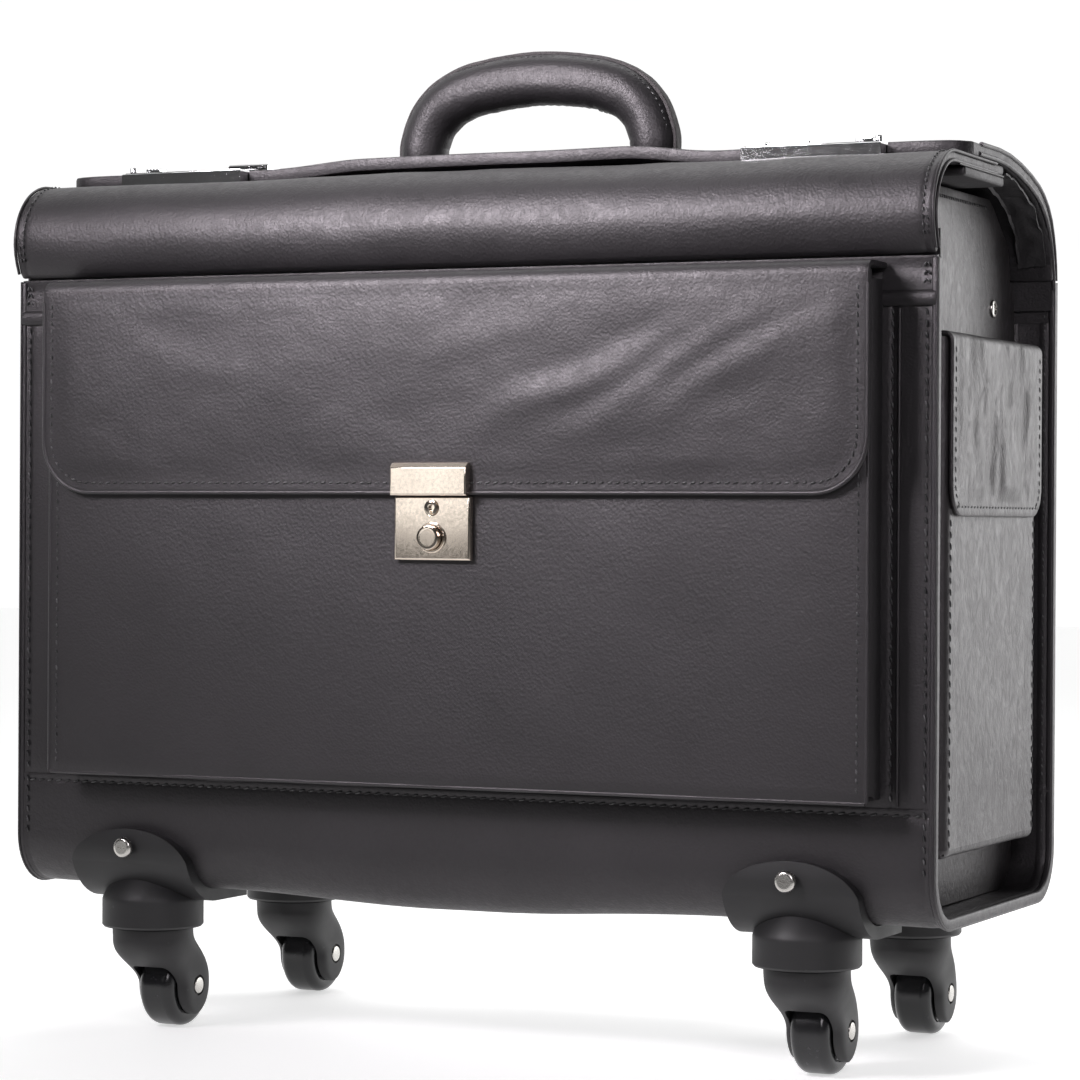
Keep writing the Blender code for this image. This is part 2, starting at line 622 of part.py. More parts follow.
def make_latch(word, side):
    """A combination latch let into the rear flap's front edge."""
    half = LATCH_WIDTH / 2
    centre = side * LATCH_X
    low = (centre - half, LATCH_FRONT_Y, LATCH_FOOT_Z)
    high = (centre + half, LATCH_BACK_Y, LATCH_TOP_Z)
    body = block(f"latch_body_{word}", low, high, chrome)
    dial_y = LATCH_FRONT_Y + DIAL_SETBACK
    dial_z = LATCH_FOOT_Z + DIAL_LIFT + DIAL_RADIUS
    well = DIAL_RADIUS + BORE_CLEARANCE
    for number in range(DIAL_COUNT):
        dial_x = centre + (number - (DIAL_COUNT - 1) / 2) * DIAL_PITCH
        reach = DIAL_WIDTH / 2 + BORE_CLEARANCE
        cut = box_mesh(
            (dial_x - reach, dial_y - well, dial_z - DIAL_RADIUS - BORE_CLEARANCE),
            (dial_x + reach, dial_y + well, LATCH_TOP_Z + TOOL_REACH),
        )
        combine(body, cut, "DIFFERENCE")
        name = f"latch_dial_{word}_{number + 1}"
        disc = turned_mesh(
            name,
            (dial_y, dial_z),
            "X",
            dial_x - DIAL_WIDTH / 2,
            dial_x + DIAL_WIDTH / 2,
            DIAL_RADIUS,
            12,
        )
        add(name, disc, steel, (dial_x, dial_y, dial_z))
    keeper_y = LATCH_FRONT_Y + KEEPER_SETBACK
    keeper_half = KEEPER_WIDTH / 2
    keeper_top = LATCH_FOOT_Z + KEEPER_HEIGHT
    slot_half = keeper_half + KEEPER_SLOT_SIDE
    slot = box_mesh(
        (centre - slot_half, LATCH_FRONT_Y + KEEPER_SLOT_FRONT, LATCH_FOOT_Z - TOOL_REACH),
        (centre + slot_half, keeper_y + KEEPER_SLOT_BACK, keeper_top + KEEPER_SLOT_TOP),
    )
    combine(body, slot, "DIFFERENCE")
    block(
        f"latch_keeper_{word}",
        (centre - keeper_half, keeper_y, LATCH_FOOT_Z),
        (centre + keeper_half, keeper_y + KEEPER_DEPTH, keeper_top),
        steel,
    )
    knob_x = centre + side * SLIDER_X
    foot = LATCH_TOP_Z + GAP
    block(
        f"latch_slider_{word}",
        (knob_x - SLIDER_WIDTH / 2, dial_y - SLIDER_DEPTH / 2, foot),
        (knob_x + SLIDER_WIDTH / 2, dial_y + SLIDER_DEPTH / 2, foot + SLIDER_HEIGHT),
        chrome,
        (knob_x, dial_y, LATCH_TOP_Z),
    )
    lever_x = centre - side * (half - LEVER_WIDTH / 2 - LEVER_INSET)
    hinge_y = LATCH_BACK_Y - LEVER_INSET
    lever_top = foot + LEVER_HEIGHT
    tip = hinge_y - LEVER_DEPTH
    outline = [(hinge_y, foot), (hinge_y, foot + LEVER_EDGE), (hinge_y - LEVER_SLOPE, lever_top)]
    outline += [(tip + LEVER_EDGE, lever_top), (tip, lever_top - LEVER_EDGE), (tip, foot)]
    prism(
        f"latch_lever_{word}",
        outline,
        "X",
        lever_x - LEVER_WIDTH / 2,
        lever_x + LEVER_WIDTH / 2,
        chrome,
        (lever_x, hinge_y, foot),
    )


# ---------------------------------------------------------------- casters
def bracket_shape(front):
    """The wrap around the lower edge, seen from the end; front is -1 or 1."""
    centre = (HALF_Y - CORNER_RADIUS, UNDERSIDE_Z + CORNER_RADIUS)
    inner = CORNER_RADIUS + GAP
    outer = inner + BRACKET_THICK
    inside_y = HALF_Y - BRACKET_REACH
    back = HALF_Y + GAP
    outline = [(back, BRACKET_TOP_Z), (back + BRACKET_THICK - BRACKET_EDGE, BRACKET_TOP_Z)]
    outline += arc(centre, outer, 0, -90, 6)
    outline += [(inside_y, UNDERSIDE_Z - GAP - BRACKET_THICK), (inside_y, UNDERSIDE_Z - GAP)]
    outline += arc(centre, inner, -90, 0, 6)
    return [(front * y, z) for y, z in outline]


def case_space(front):
    """The room that the case itself takes at a lower edge, seen from the end."""
    centre = (HALF_Y - CORNER_RADIUS, UNDERSIDE_Z + CORNER_RADIUS)
    inner = CORNER_RADIUS + GAP
    outline = [(0, KICK_TOP_Z), (0, UNDERSIDE_Z - GAP)]
    outline += arc(centre, inner, -90, 0, 6)
    outline += [(HALF_Y + GAP, KICK_TOP_Z)]
    return [(front * y, z) for y, z in outline]


def make_caster(word, right, back):
    """Bracket, swivel fork, wheel and axle pin at one corner."""
    x = right * CASTER_X
    y = back * CASTER_Y
    wide = BRACKET_HALF_WIDTH
    name = f"caster_bracket_{word}"
    part = prism(name, bracket_shape(back), "X", x - wide, x + wide, plastic, (x, y, COLLAR_FOOT_Z))
    arch_half = wide + ARCH_MARGIN
    arch = [(x - arch_half, COLLAR_FOOT_Z), (x + arch_half, COLLAR_FOOT_Z)]
    rise = BRACKET_TOP_Z - BRACKET_SHOULDER_Z
    for px, pz in arc((0, 0), 1, 0, 180, 12):
        arch.append((x + px * arch_half, BRACKET_SHOULDER_Z + pz * rise))
    reach = BRACKET_REACH + TOOL_REACH
    combine(part, prism_mesh("tool", arch, "Y", y - reach, y + reach), "INTERSECT")
    collar = turned_mesh("tool", (x, y), "Z", COLLAR_FOOT_Z, COLLAR_TOP_Z, COLLAR_RADIUS, 28)
    combine(part, collar, "UNION")
    reach = wide + TOOL_REACH
    space = prism_mesh("tool", case_space(back), "X", x - reach, x + reach)
    combine(part, space, "DIFFERENCE")
    bore = STEM_RADIUS + BORE_CLEARANCE
    ceiling = UNDERSIDE_Z - GAP - BORE_ROOF
    well = turned_mesh("tool", (x, y), "Z", COLLAR_FOOT_Z - TOOL_REACH, ceiling, bore, 16)
    combine(part, well, "DIFFERENCE")
    make_fork(word, x, y, ceiling - GAP)
    make_wheel(word, x, y + CASTER_TRAIL)


def make_fork(word, x, y, stem_top):
    """Swivel fork with a stem, a round neck, a hood and two cheeks that hold the axle."""
    neck_top = COLLAR_FOOT_Z - GAP
    neck_foot = neck_top - NECK_HEIGHT
    wheel_y = y + CASTER_TRAIL
    half = WHEEL_WIDTH / 2 + WHEEL_CLEARANCE / 2 + CHEEK_THICK
    outline = [(y - NECK_RADIUS + inset, neck_foot + rise) for inset, rise in HOOD_FRONT]
    outline += arc((wheel_y, WHEEL_Z), CHEEK_RADIUS, 215, 380, 8)
    outline += [(wheel_y + HOOD_BACK_Y, neck_foot - HOOD_BACK_DROP)]
    outline += [(y + NECK_RADIUS + HOOD_BACK_REACH, neck_foot + HOOD_BITE)]
    name = f"caster_fork_{word}"
    part = prism(name, outline, "X", x - half, x + half, plastic, (x, y, neck_top))
    neck = turned_mesh("tool", (x, y), "Z", neck_foot, neck_top, NECK_RADIUS, 24)
    combine(part, neck, "UNION")
    combine(part, turned_mesh("tool", (x, y), "Z", neck_foot, stem_top, STEM_RADIUS, 16), "UNION")
    slot = WHEEL_WIDTH / 2 + WHEEL_CLEARANCE / 2
    round_slot = turned_mesh(
        "tool", (wheel_y, WHEEL_Z), "X", x - slot, x + slot, WHEEL_RADIUS + WHEEL_CLEARANCE, 28
    )
    combine(part, round_slot, "DIFFERENCE")
    reach = half + TOOL_REACH
    bore = turned_mesh(
        "tool", (wheel_y, WHEEL_Z), "X", x - reach, x + reach, AXLE_RADIUS + GAP, 12
    )
    combine(part, bore, "DIFFERENCE")
    end = half - AXLE_INSET
    pin = turned_mesh("pin", (wheel_y, WHEEL_Z), "X", x - end, x + end, AXLE_RADIUS, 12)
    add(f"caster_axle_{word}", pin, steel, (x, wheel_y, WHEEL_Z))


def make_wheel(word, x, wheel_y):
    """A wheel on its axle, with chamfered edges and a bore."""
    half = WHEEL_WIDTH / 2
    name = f"caster_wheel_{word}"
    tyre = turned_mesh(
        name, (wheel_y, WHEEL_Z), "X", x - half, x + half, WHEEL_RADIUS, 32, WHEEL_CHAMFER
    )
    part = add(name, tyre, rubber, (x, wheel_y, WHEEL_Z))
    reach = half + TOOL_REACH
    bore = turned_mesh(
        "tool", (wheel_y, WHEEL_Z), "X", x - reach, x + reach, AXLE_RADIUS + GAP, 12
    )
    combine(part, bore, "DIFFERENCE")


# ---------------------------------------------------------------- pull handle
def tube(name, side, step, low, high, origin_z):
    """One stage of a telescopic tube: each step is one tube smaller."""
    x = side * TROLLEY_SPREAD / 2
    half_x = TUBE_WIDTH / 2 - step * TUBE_STEP
    half_y = TUBE_DEPTH / 2 - step * TUBE_STEP
    outline = rounded_rectangle(
        (x - half_x, TROLLEY_Y - half_y), (x + half_x, TROLLEY_Y + half_y), TUBE_ROUND, 2
    )
    part = prism(name, outline, "Z", low, high, aluminium, (x, TROLLEY_Y, origin_z))
    wall = TUBE_WALL
    inside = rounded_rectangle(
        (x - half_x + wall, TROLLEY_Y - half_y + wall),
        (x + half_x - wall, TROLLEY_Y + half_y - wall),
        TUBE_ROUND - wall,
        2,
    )
    bore = prism_mesh("tool", inside, "Z", low - TOOL_REACH, high + TOOL_REACH)
    combine(part, bore, "DIFFERENCE")


def make_pull_handle():
    """Foot, guide block, two stacks of three tubes, a grip and its release button."""
    back = HALF_Y + GAP
    half = TROLLEY_SPREAD / 2 + TUBE_WIDTH / 2 + TROLLEY_SIDE
    cup_top = TROLLEY_FOOT_Z + TROLLEY_CUP_HEIGHT
    cup = block(
        "pull_handle_foot",
        (-half, back, TROLLEY_FOOT_Z),
        (half, back + TROLLEY_DEPTH, cup_top),
        plastic,
    )
    block_top = TROLLEY_BLOCK_Z + TROLLEY_BLOCK_HEIGHT
    guide = block(
        "pull_handle_guide",
        (-half, back, TROLLEY_BLOCK_Z),
        (half, back + TROLLEY_DEPTH, block_top),
        plastic,
    )
    socket_floor = TROLLEY_FOOT_Z + SOCKET_FLOOR
    for side in (-1, 1):
        x = side * TROLLEY_SPREAD / 2
        reach_x = TUBE_WIDTH / 2 + GAP
        reach_y = TUBE_DEPTH / 2 + GAP
        combine(
            cup,
            box_mesh(
                (x - reach_x, TROLLEY_Y - reach_y, socket_floor),
                (x + reach_x, TROLLEY_Y + reach_y, cup_top + TOOL_REACH),
            ),
            "DIFFERENCE",
        )
        reach_x -= TUBE_STEP
        reach_y -= TUBE_STEP
        combine(
            guide,
            box_mesh(
                (x - reach_x, TROLLEY_Y - reach_y, TROLLEY_BLOCK_Z - TOOL_REACH),
                (x + reach_x, TROLLEY_Y + reach_y, block_top + TOOL_REACH),
            ),
            "DIFFERENCE",
        )
    grip_foot = block_top + GAP
    for word, side in SIDES:
        tube(f"outer_tube_{word}", side, 0, socket_floor + GAP, TROLLEY_BLOCK_Z - GAP, socket_floor)
        foot = socket_floor + TUBE_STAGGER
        tube(f"middle_tube_{word}", side, 1, foot, block_top - TUBE_STAGGER, block_top)
        foot += TUBE_STAGGER
        tube(f"inner_tube_{word}", side, 2, foot, grip_foot + GRIP_SOCKET, grip_foot)
    grip = make_grip(grip_foot)
    for side in (-1, 1):
        x = side * TROLLEY_SPREAD / 2
        reach_x = TUBE_WIDTH / 2 - 2 * TUBE_STEP + GAP
        reach_y = TUBE_DEPTH / 2 - 2 * TUBE_STEP + GAP
        combine(
            grip,
            box_mesh(
                (x - reach_x, TROLLEY_Y - reach_y, grip_foot - TOOL_REACH),
                (x + reach_x, TROLLEY_Y + reach_y, grip_foot + GRIP_SOCKET + GAP),
            ),
            "DIFFERENCE",
        )


def make_grip(foot):
    """A bar with round ends, and a push button let into its top."""
    top = foot + GRIP_HEIGHT
    half_y = TROLLEY_DEPTH / 2 - GRIP_INSET
    half_x = GRIP_WIDTH / 2
    outline = rounded_rectangle(
        (-half_x, TROLLEY_Y - half_y), (half_x, TROLLEY_Y + half_y), GRIP_ROUND, 3
    )
    grip = prism("pull_grip", outline, "Z", foot, top, plastic, (0, TROLLEY_Y, foot))
    reach = GRIP_BUTTON_WIDTH / 2
    deep = GRIP_BUTTON_DEPTH / 2
    floor = top - GRIP_BUTTON_WELL
    combine(
        grip,
        box_mesh(
            (-reach - GAP, TROLLEY_Y - deep - GAP, floor),
            (reach + GAP, TROLLEY_Y + deep + GAP, top + TOOL_REACH),
        ),
        "DIFFERENCE",
    )
    block(
        "pull_grip_button",
        (-reach, TROLLEY_Y - deep, floor + GRIP_BUTTON_TRAVEL + GAP),
        (reach, TROLLEY_Y + deep, top + GRIP_BUTTON_PROUD),
        steel,
        (0, TROLLEY_Y, top),
    )
    return grip


# ---------------------------------------------------------------- build
clear_scene()
case = bpy.data.objects.new("case", None)
case.location = (0, CASE_SHIFT_Y, 0)
bpy.context.scene.collection.objects.link(case)

leather = finish("black_leather", (0.012, 0.011, 0.013), 0.42)
plastic = finish("black_plastic", (0.014, 0.014, 0.016), 0.45)
rubber = finish("wheel_rubber", (0.008, 0.008, 0.009), 0.35)
nickel = finish("lock_nickel", (0.72, 0.66, 0.58), 0.14, 1.0)
chrome = finish("latch_chrome", (0.80, 0.80, 0.81), 0.10, 1.0)
steel = finish("steel", (0.55, 0.54, 0.52), 0.28, 1.0)
aluminium = finish("aluminium_tube", (0.62, 0.63, 0.65), 0.30, 1.0)

make_base_tray()
make_walls()
make_end_panels()
make_front_flap()
make_rear_flap()
make_front_pocket()
make_front_pocket_flap()
make_push_lock()
make_side_pockets()
make_carry_handle()
for side_word, side_sign in SIDES:
    make_latch(side_word, side_sign)
for corner_word, corner_x, corner_y in CORNERS:
    make_caster(corner_word, corner_x, corner_y)
make_pull_handle()
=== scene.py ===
"""Looks of a pilot rolling flight case: leather-cloth shells with piping and stitching over a
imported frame, nickel push lock, chrome combination latches, moulded casters and a pull handle."""
import math

import bmesh
import bpy
from mathutils import Matrix, Vector, noise


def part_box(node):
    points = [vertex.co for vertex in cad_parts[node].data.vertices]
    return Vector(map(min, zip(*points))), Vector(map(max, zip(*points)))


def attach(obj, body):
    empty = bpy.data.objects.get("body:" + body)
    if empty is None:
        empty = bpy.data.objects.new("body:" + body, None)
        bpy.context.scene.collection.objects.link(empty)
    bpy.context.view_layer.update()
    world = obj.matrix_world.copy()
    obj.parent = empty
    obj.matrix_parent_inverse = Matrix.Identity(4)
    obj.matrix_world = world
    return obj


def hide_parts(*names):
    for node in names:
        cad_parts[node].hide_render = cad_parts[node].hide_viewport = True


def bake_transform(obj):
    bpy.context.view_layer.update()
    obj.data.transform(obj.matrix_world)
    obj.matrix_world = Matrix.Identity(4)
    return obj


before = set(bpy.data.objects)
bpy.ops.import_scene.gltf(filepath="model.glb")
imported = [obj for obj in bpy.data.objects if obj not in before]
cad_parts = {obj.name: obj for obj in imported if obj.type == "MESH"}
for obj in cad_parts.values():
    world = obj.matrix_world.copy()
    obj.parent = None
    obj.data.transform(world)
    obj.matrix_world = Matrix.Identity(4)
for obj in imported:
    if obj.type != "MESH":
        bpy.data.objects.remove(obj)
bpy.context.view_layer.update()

# ------------------------------------------------------------------ camera
CAMERA_AT = (0.7133, -1.5200, 0.2455)
CAMERA_YAW = -0.43554
CAMERA_PITCH = -0.003942
CAMERA_ROLL = 0.005916
CAMERA_LENS = 116.01


def make_camera():
    """A long lens low at the right front corner."""
    ahead = Vector((
        math.sin(CAMERA_YAW) * math.cos(CAMERA_PITCH),
        math.cos(CAMERA_YAW) * math.cos(CAMERA_PITCH),
        math.sin(CAMERA_PITCH),
    ))
    right = Vector((math.cos(CAMERA_YAW), -math.sin(CAMERA_YAW), 0.0))
    up = right.cross(ahead)
    right_r = right * math.cos(CAMERA_ROLL) + up * math.sin(CAMERA_ROLL)
    up_r = up * math.cos(CAMERA_ROLL) - right * math.sin(CAMERA_ROLL)
    lens = bpy.data.cameras.new("camera")
    lens.lens = CAMERA_LENS
    lens.sensor_width = 36.0
    lens.clip_start = 0.05
    camera = bpy.data.objects.new("camera", lens)
    turn = Matrix((right_r, up_r, -ahead)).transposed()
    camera.matrix_world = Matrix.Translation(CAMERA_AT) @ turn.to_4x4()
    bpy.context.scene.collection.objects.link(camera)
    bpy.context.scene.camera = camera


make_camera()

# ------------------------------------------------------------------ places read from the frame
TRAY_LOW, TRAY_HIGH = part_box("base_tray")
HALF_X = TRAY_HIGH.x
CASE_Y = (TRAY_LOW.y + TRAY_HIGH.y) / 2
HALF_Y = (TRAY_HIGH.y - TRAY_LOW.y) / 2
UNDERSIDE = TRAY_LOW.z
KICK_TOP = TRAY_HIGH.z
STRIP_LOW, STRIP_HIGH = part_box("front_hinge_strip")
STRIP_Z = STRIP_LOW.z
HINGE_Z = STRIP_HIGH.z
END_LOW, END_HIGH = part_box("end_panel_right")
CORNER = 0.024
BOARD = 0.004
GAP = 0.0003
CASTER_TRAIL = 0.0204
SEAM_X = HALF_X - 0.0055
INNER_SEAM_X = HALF_X - 0.021
STITCH_PITCH = 0.0050


# ------------------------------------------------------------------ working by hand
def clear_selection():
    """Object mode, nothing selected."""
    if bpy.context.mode != "OBJECT":
        bpy.ops.object.mode_set(mode="OBJECT")
    bpy.ops.object.select_all(action="DESELECT")


def pick(*pieces):
    """Selects pieces; the last is active."""
    clear_selection()
    for piece in pieces:
        piece.select_set(True)
    bpy.context.view_layer.objects.active = pieces[-1]


def edit(piece):
    """Edit mode on one piece."""
    pick(piece)
    bpy.ops.object.mode_set(mode="EDIT")


def leave():
    """Back to object mode."""
    bpy.ops.object.mode_set(mode="OBJECT")


def choose(piece, kind, test):
    """In edit mode, selects the edges or faces whose middle and direction pass the test."""
    bpy.context.tool_settings.mesh_select_mode = (False, kind == "EDGE", kind == "FACE")
    bpy.ops.mesh.select_all(action="DESELECT")
    shape = bmesh.from_edit_mesh(piece.data)
    if kind == "EDGE":
        for edge in shape.edges:
            first, last = edge.verts
            way = (last.co - first.co).normalized()
            edge.select_set(bool(test((first.co + last.co) / 2, way)))
    else:
        for face in shape.faces:
            face.select_set(bool(test(face.calc_center_median(), face.normal)))
    bmesh.update_edit_mesh(piece.data)


def settle(piece):
    """Puts the object at the origin, with its place in its mesh."""
    pick(piece)
    bpy.ops.object.transform_apply(location=True, rotation=True, scale=True)


def use(piece, kind, **values):
    """Adds one modifier and applies it."""
    pick(piece)
    step = piece.modifiers.new(kind.lower(), kind)
    for key, value in values.items():
        setattr(step, key, value)
    bpy.ops.object.modifier_apply(modifier=step.name)


def smooth(piece, angle=35):
    """Smooth shading, sharp past an angle."""
    pick(piece)
    bpy.ops.object.shade_smooth_by_angle(angle=math.radians(angle))


def join(name, *pieces):
    """Several meshes as one piece."""
    pick(*pieces)
    bpy.ops.object.join()
    piece = bpy.context.active_object
    piece.name = name
    return piece


def cube(name, low, high, edge=0.0, segments=2):
    """A block between two corners with rounded edges."""
    clear_selection()
    low, high = Vector(low), Vector(high)
    bpy.ops.mesh.primitive_cube_add(size=1, location=(low + high) / 2)
    piece = bpy.context.active_object
    piece.name = name
    piece.scale = high - low
    settle(piece)
    if edge:
        use(piece, "BEVEL", width=edge, segments=segments, limit_method="ANGLE")
    smooth(piece)
    return piece


TURN = {"X": (0, math.pi / 2, 0), "Y": (-math.pi / 2, 0, 0), "Z": (0, 0, 0)}
AXIS = {"X": Vector((1, 0, 0)), "Y": Vector((0, 1, 0)), "Z": Vector((0, 0, 1))}


def rod(name, centre, axis, low, high, radius, sides=48, edge=0.0, segments=2):
    """A round bar along an axis; low and high are measured from the centre."""
    clear_selection()
    middle = Vector(centre) + AXIS[axis] * (low + high) / 2
    bpy.ops.mesh.primitive_cylinder_add(
        vertices=sides, radius=radius, depth=high - low, location=middle, rotation=TURN[axis]
    )
    piece = bpy.context.active_object
    piece.name = name
    settle(piece)
    if edge:
        use(piece, "BEVEL", width=edge, segments=segments, limit_method="ANGLE")
    smooth(piece)
    return piece


def cut_with(piece, *cutters, operation="DIFFERENCE"):
    """Cuts, joins or intersects with other shapes, which are then removed."""
    for cutter in cutters:
        use(piece, "BOOLEAN", operation=operation, object=cutter, solver="EXACT")
        bpy.data.objects.remove(cutter, do_unlink=True)
    return piece


def spaced(points, spacing):
    """A smooth path through a few points, as points a set distance apart."""
    points = [Vector(p) for p in points]
    ends = [points[0] * 2 - points[1], *points, points[-1] * 2 - points[-2]]
    fine = []
    for k in range(1, len(ends) - 2):
        a, b, c, d = ends[k - 1:k + 3]
        for i in range(16):
            t = i / 16
            fine.append(0.5 * (
                2 * b + (c - a) * t + (2 * a - 5 * b + 4 * c - d) * t * t
                + (3 * b - a - 3 * c + d) * t * t * t
            ))
    fine.append(points[-1])
    length = sum((q - p).length for p, q in zip(fine, fine[1:]))
    count = max(1, round(length / spacing))
    step = length / count
    path, walked, target = [fine[0]], 0.0, step
    for p, q in zip(fine, fine[1:]):
        part = (q - p).length
        while part > 0 and walked + part >= target - 1e-9 and len(path) < count:
            path.append(p.lerp(q, (target - walked) / part))
            target += step
        walked += part
    path.append(fine[-1])
    return path


def arc(centre, radius, start, end, steps):
    """Points on a circle, angles in degrees."""
    return [
        (
            centre[0] + radius * math.cos(math.radians(start + (end - start) * i / steps)),
            centre[1] + radius * math.sin(math.radians(start + (end - start) * i / steps)),
        )
        for i in range(steps + 1)
    ]


def bent_sheet(name, path, low, high, columns):
    """One plane, extruded edge by edge along a path of (y, z), then cut into columns: a count,
    or the places of the cuts. Running up the front and over to the back, it faces outwards."""
    path = [(p[0] + CASE_Y, p[1]) for p in path]
    clear_selection()
    bpy.ops.mesh.primitive_plane_add(size=1)
    piece = bpy.context.active_object
    piece.name = name
    settle(piece)
    for vertex in piece.data.vertices:
        spot = path[1] if vertex.co.y > 0 else path[0]
        vertex.co = (high if vertex.co.x > 0 else low, spot[0], spot[1])
    edit(piece)
    middle = Vector(((low + high) / 2, *path[1]))
    choose(piece, "EDGE", lambda at, way: (at - middle).length < 1e-6)
    for here, there in zip(path[1:], path[2:]):
        step = (0, there[0] - here[0], there[1] - here[1])
        bpy.ops.mesh.extrude_edges_move(TRANSFORM_OT_translate={"value": step})
    count = columns if isinstance(columns, int) else len(columns) + 1
    choose(piece, "EDGE", lambda at, way: abs(way.x) > 0.99)
    bpy.ops.mesh.subdivide(number_cuts=count - 1)
    leave()
    if not isinstance(columns, int):
        places = [low, *sorted(columns), high]
        for vertex in piece.data.vertices:
            vertex.co.x = places[round((vertex.co.x - low) / (high - low) * count)]
    return piece


def shape(piece, move):
    """Moves each vertex by what the function says."""
    for vertex in piece.data.vertices:
        vertex.co = vertex.co + Vector(move(vertex.co.copy(), vertex.normal.copy()))
    piece.data.update()


def thicken(piece, depth, edge=0.0008):
    """Gives a sheet its board, inwards, and rounds its rim."""
    use(piece, "SOLIDIFY", thickness=depth, offset=-1.0, use_even_offset=True)
    if edge:
        use(piece, "BEVEL", width=edge, segments=2, limit_method="ANGLE",
            angle_limit=math.radians(50))
    smooth(piece, 40)


def bump_at(distance, width):
    """1 on a line, falling to 0 at about its width."""
    return math.exp(-(distance / width) ** 2)


def ramp(value, low, high):
    """0 below low, 1 above high, smooth between."""
    t = min(1.0, max(0.0, (value - low) / (high - low)))
    return t * t * (3 - 2 * t)


def ripple(co, scale, seed=0.0):
    """Slow, repeatable unevenness, about -1 to 1."""
    return noise.noise(Vector((co.x / scale + seed, co.y / scale - seed, co.z / scale + 2 * seed)))


def cord_line(name, points, radius, closed=False, sides=3):
    """A round bead along points, as a mesh with closed ends."""
    line = bpy.data.curves.new(name, "CURVE")
    line.dimensions = "3D"
    line.bevel_depth = radius
    line.bevel_resolution = sides
    line.use_fill_caps = True
    spline = line.splines.new("POLY")
    spline.points.add(len(points) - 1)
    for spot, point in zip(spline.points, points):
        spot.co = (*point, 1)
    spline.use_cyclic_u = closed
    piece = bpy.data.objects.new(name, line)
    bpy.context.scene.collection.objects.link(piece)
    pick(piece)
    bpy.ops.object.convert(target="MESH")
    piece = bpy.context.active_object
    edit(piece)
    bpy.ops.mesh.select_all(action="SELECT")
    bpy.ops.mesh.normals_make_consistent(inside=False)
    leave()
    smooth(piece, 60)
    return piece


def one_stitch():
    """A short plump thread, made once."""
    clear_selection()
    bpy.ops.mesh.primitive_uv_sphere_add(segments=6, ring_count=5, radius=1)
    piece = bpy.context.active_object
    piece.name = "stitch"
    mesh = piece.data.copy()
    bpy.data.objects.remove(piece, do_unlink=True)
    return mesh


STITCH = one_stitch()


def stitches(name, points, outward, pitch=STITCH_PITCH, skew=14, lift=0.0):
    """A row of slanted stitches along points; outward is a vector or a function of the place."""
    path = spaced(points, pitch)
    rows = bmesh.new()
    size = Matrix.Diagonal((pitch * 0.36, 0.00052, 0.00050, 1))
    for here, there in zip(path, path[1:]):
        middle = (here + there) / 2
        along = (there - here).normalized()
        out = Vector(outward(middle) if callable(outward) else outward).normalized()
        out = (out - along * out.dot(along)).normalized()
        side = out.cross(along)
        basis = Matrix((along, side, out)).transposed().to_4x4()
        lean = Matrix.Rotation(math.radians(skew), 4, "Z")
        place = Matrix.Translation(middle + out * lift) @ basis @ lean @ size
        start = len(rows.verts)
        rows.from_mesh(STITCH)
        rows.verts.ensure_lookup_table()
        bmesh.ops.transform(rows, matrix=place, verts=rows.verts[start:])
    mesh = bpy.data.meshes.new(name)
    rows.to_mesh(mesh)
    rows.free()
    piece = bpy.data.objects.new(name, mesh)
    bpy.context.scene.collection.objects.link(piece)
    for polygon in mesh.polygons:
        polygon.use_smooth = True
    return piece


# ------------------------------------------------------------------ finishes
def new_finish(name, colour, roughness, metallic=0.0, **sockets):
    """A Principled material; returns it with its nodes, links and shader."""
    material = bpy.data.materials.new(name)
    material.use_nodes = True
    nodes, links = material.node_tree.nodes, material.node_tree.links
    shader = nodes["Principled BSDF"]
    shader.inputs["Base Color"].default_value = (*colour, 1.0)
    shader.inputs["Roughness"].default_value = roughness
    shader.inputs["Metallic"].default_value = metallic
    for key, value in sockets.items():
        shader.inputs[key.replace("_", " ")].default_value = value
    return material, nodes, links, shader


def texture(nodes, links, kind, scale, vector, **values):
    """A texture node fed by a vector."""
    node = nodes.new(kind)
    node.inputs["Scale"].default_value = scale
    for key, value in values.items():
        node.inputs[key].default_value = value
    links.new(vector, node.inputs["Vector"])
    return node


def remap(nodes, links, value, low, high, to_low, to_high):
    """Map Range on a value."""
    node = nodes.new("ShaderNodeMapRange")
    node.inputs["From Min"].default_value = low
    node.inputs["From Max"].default_value = high
    node.inputs["To Min"].default_value = to_low
    node.inputs["To Max"].default_value = to_high
    links.new(value, node.inputs["Value"])
    return node.outputs["Result"]


def blend_colours(nodes, links, factor, first, second):
    """A mix of two colours."""
    node = nodes.new("ShaderNodeMix")
    node.data_type = "RGBA"
    node.inputs["A"].default_value = (*first, 1)
    node.inputs["B"].default_value = (*second, 1)
    links.new(factor, node.inputs["Factor"])
    return node.outputs["Result"]


def bump(nodes, links, height, distance, strength, before=None):
    """A Bump node, on top of an earlier one."""
    node = nodes.new("ShaderNodeBump")
    node.inputs["Strength"].default_value = strength
    node.inputs["Distance"].default_value = distance
    links.new(height, node.inputs["Height"])
    if before:
        links.new(before, node.inputs["Normal"])
    return node.outputs["Normal"]


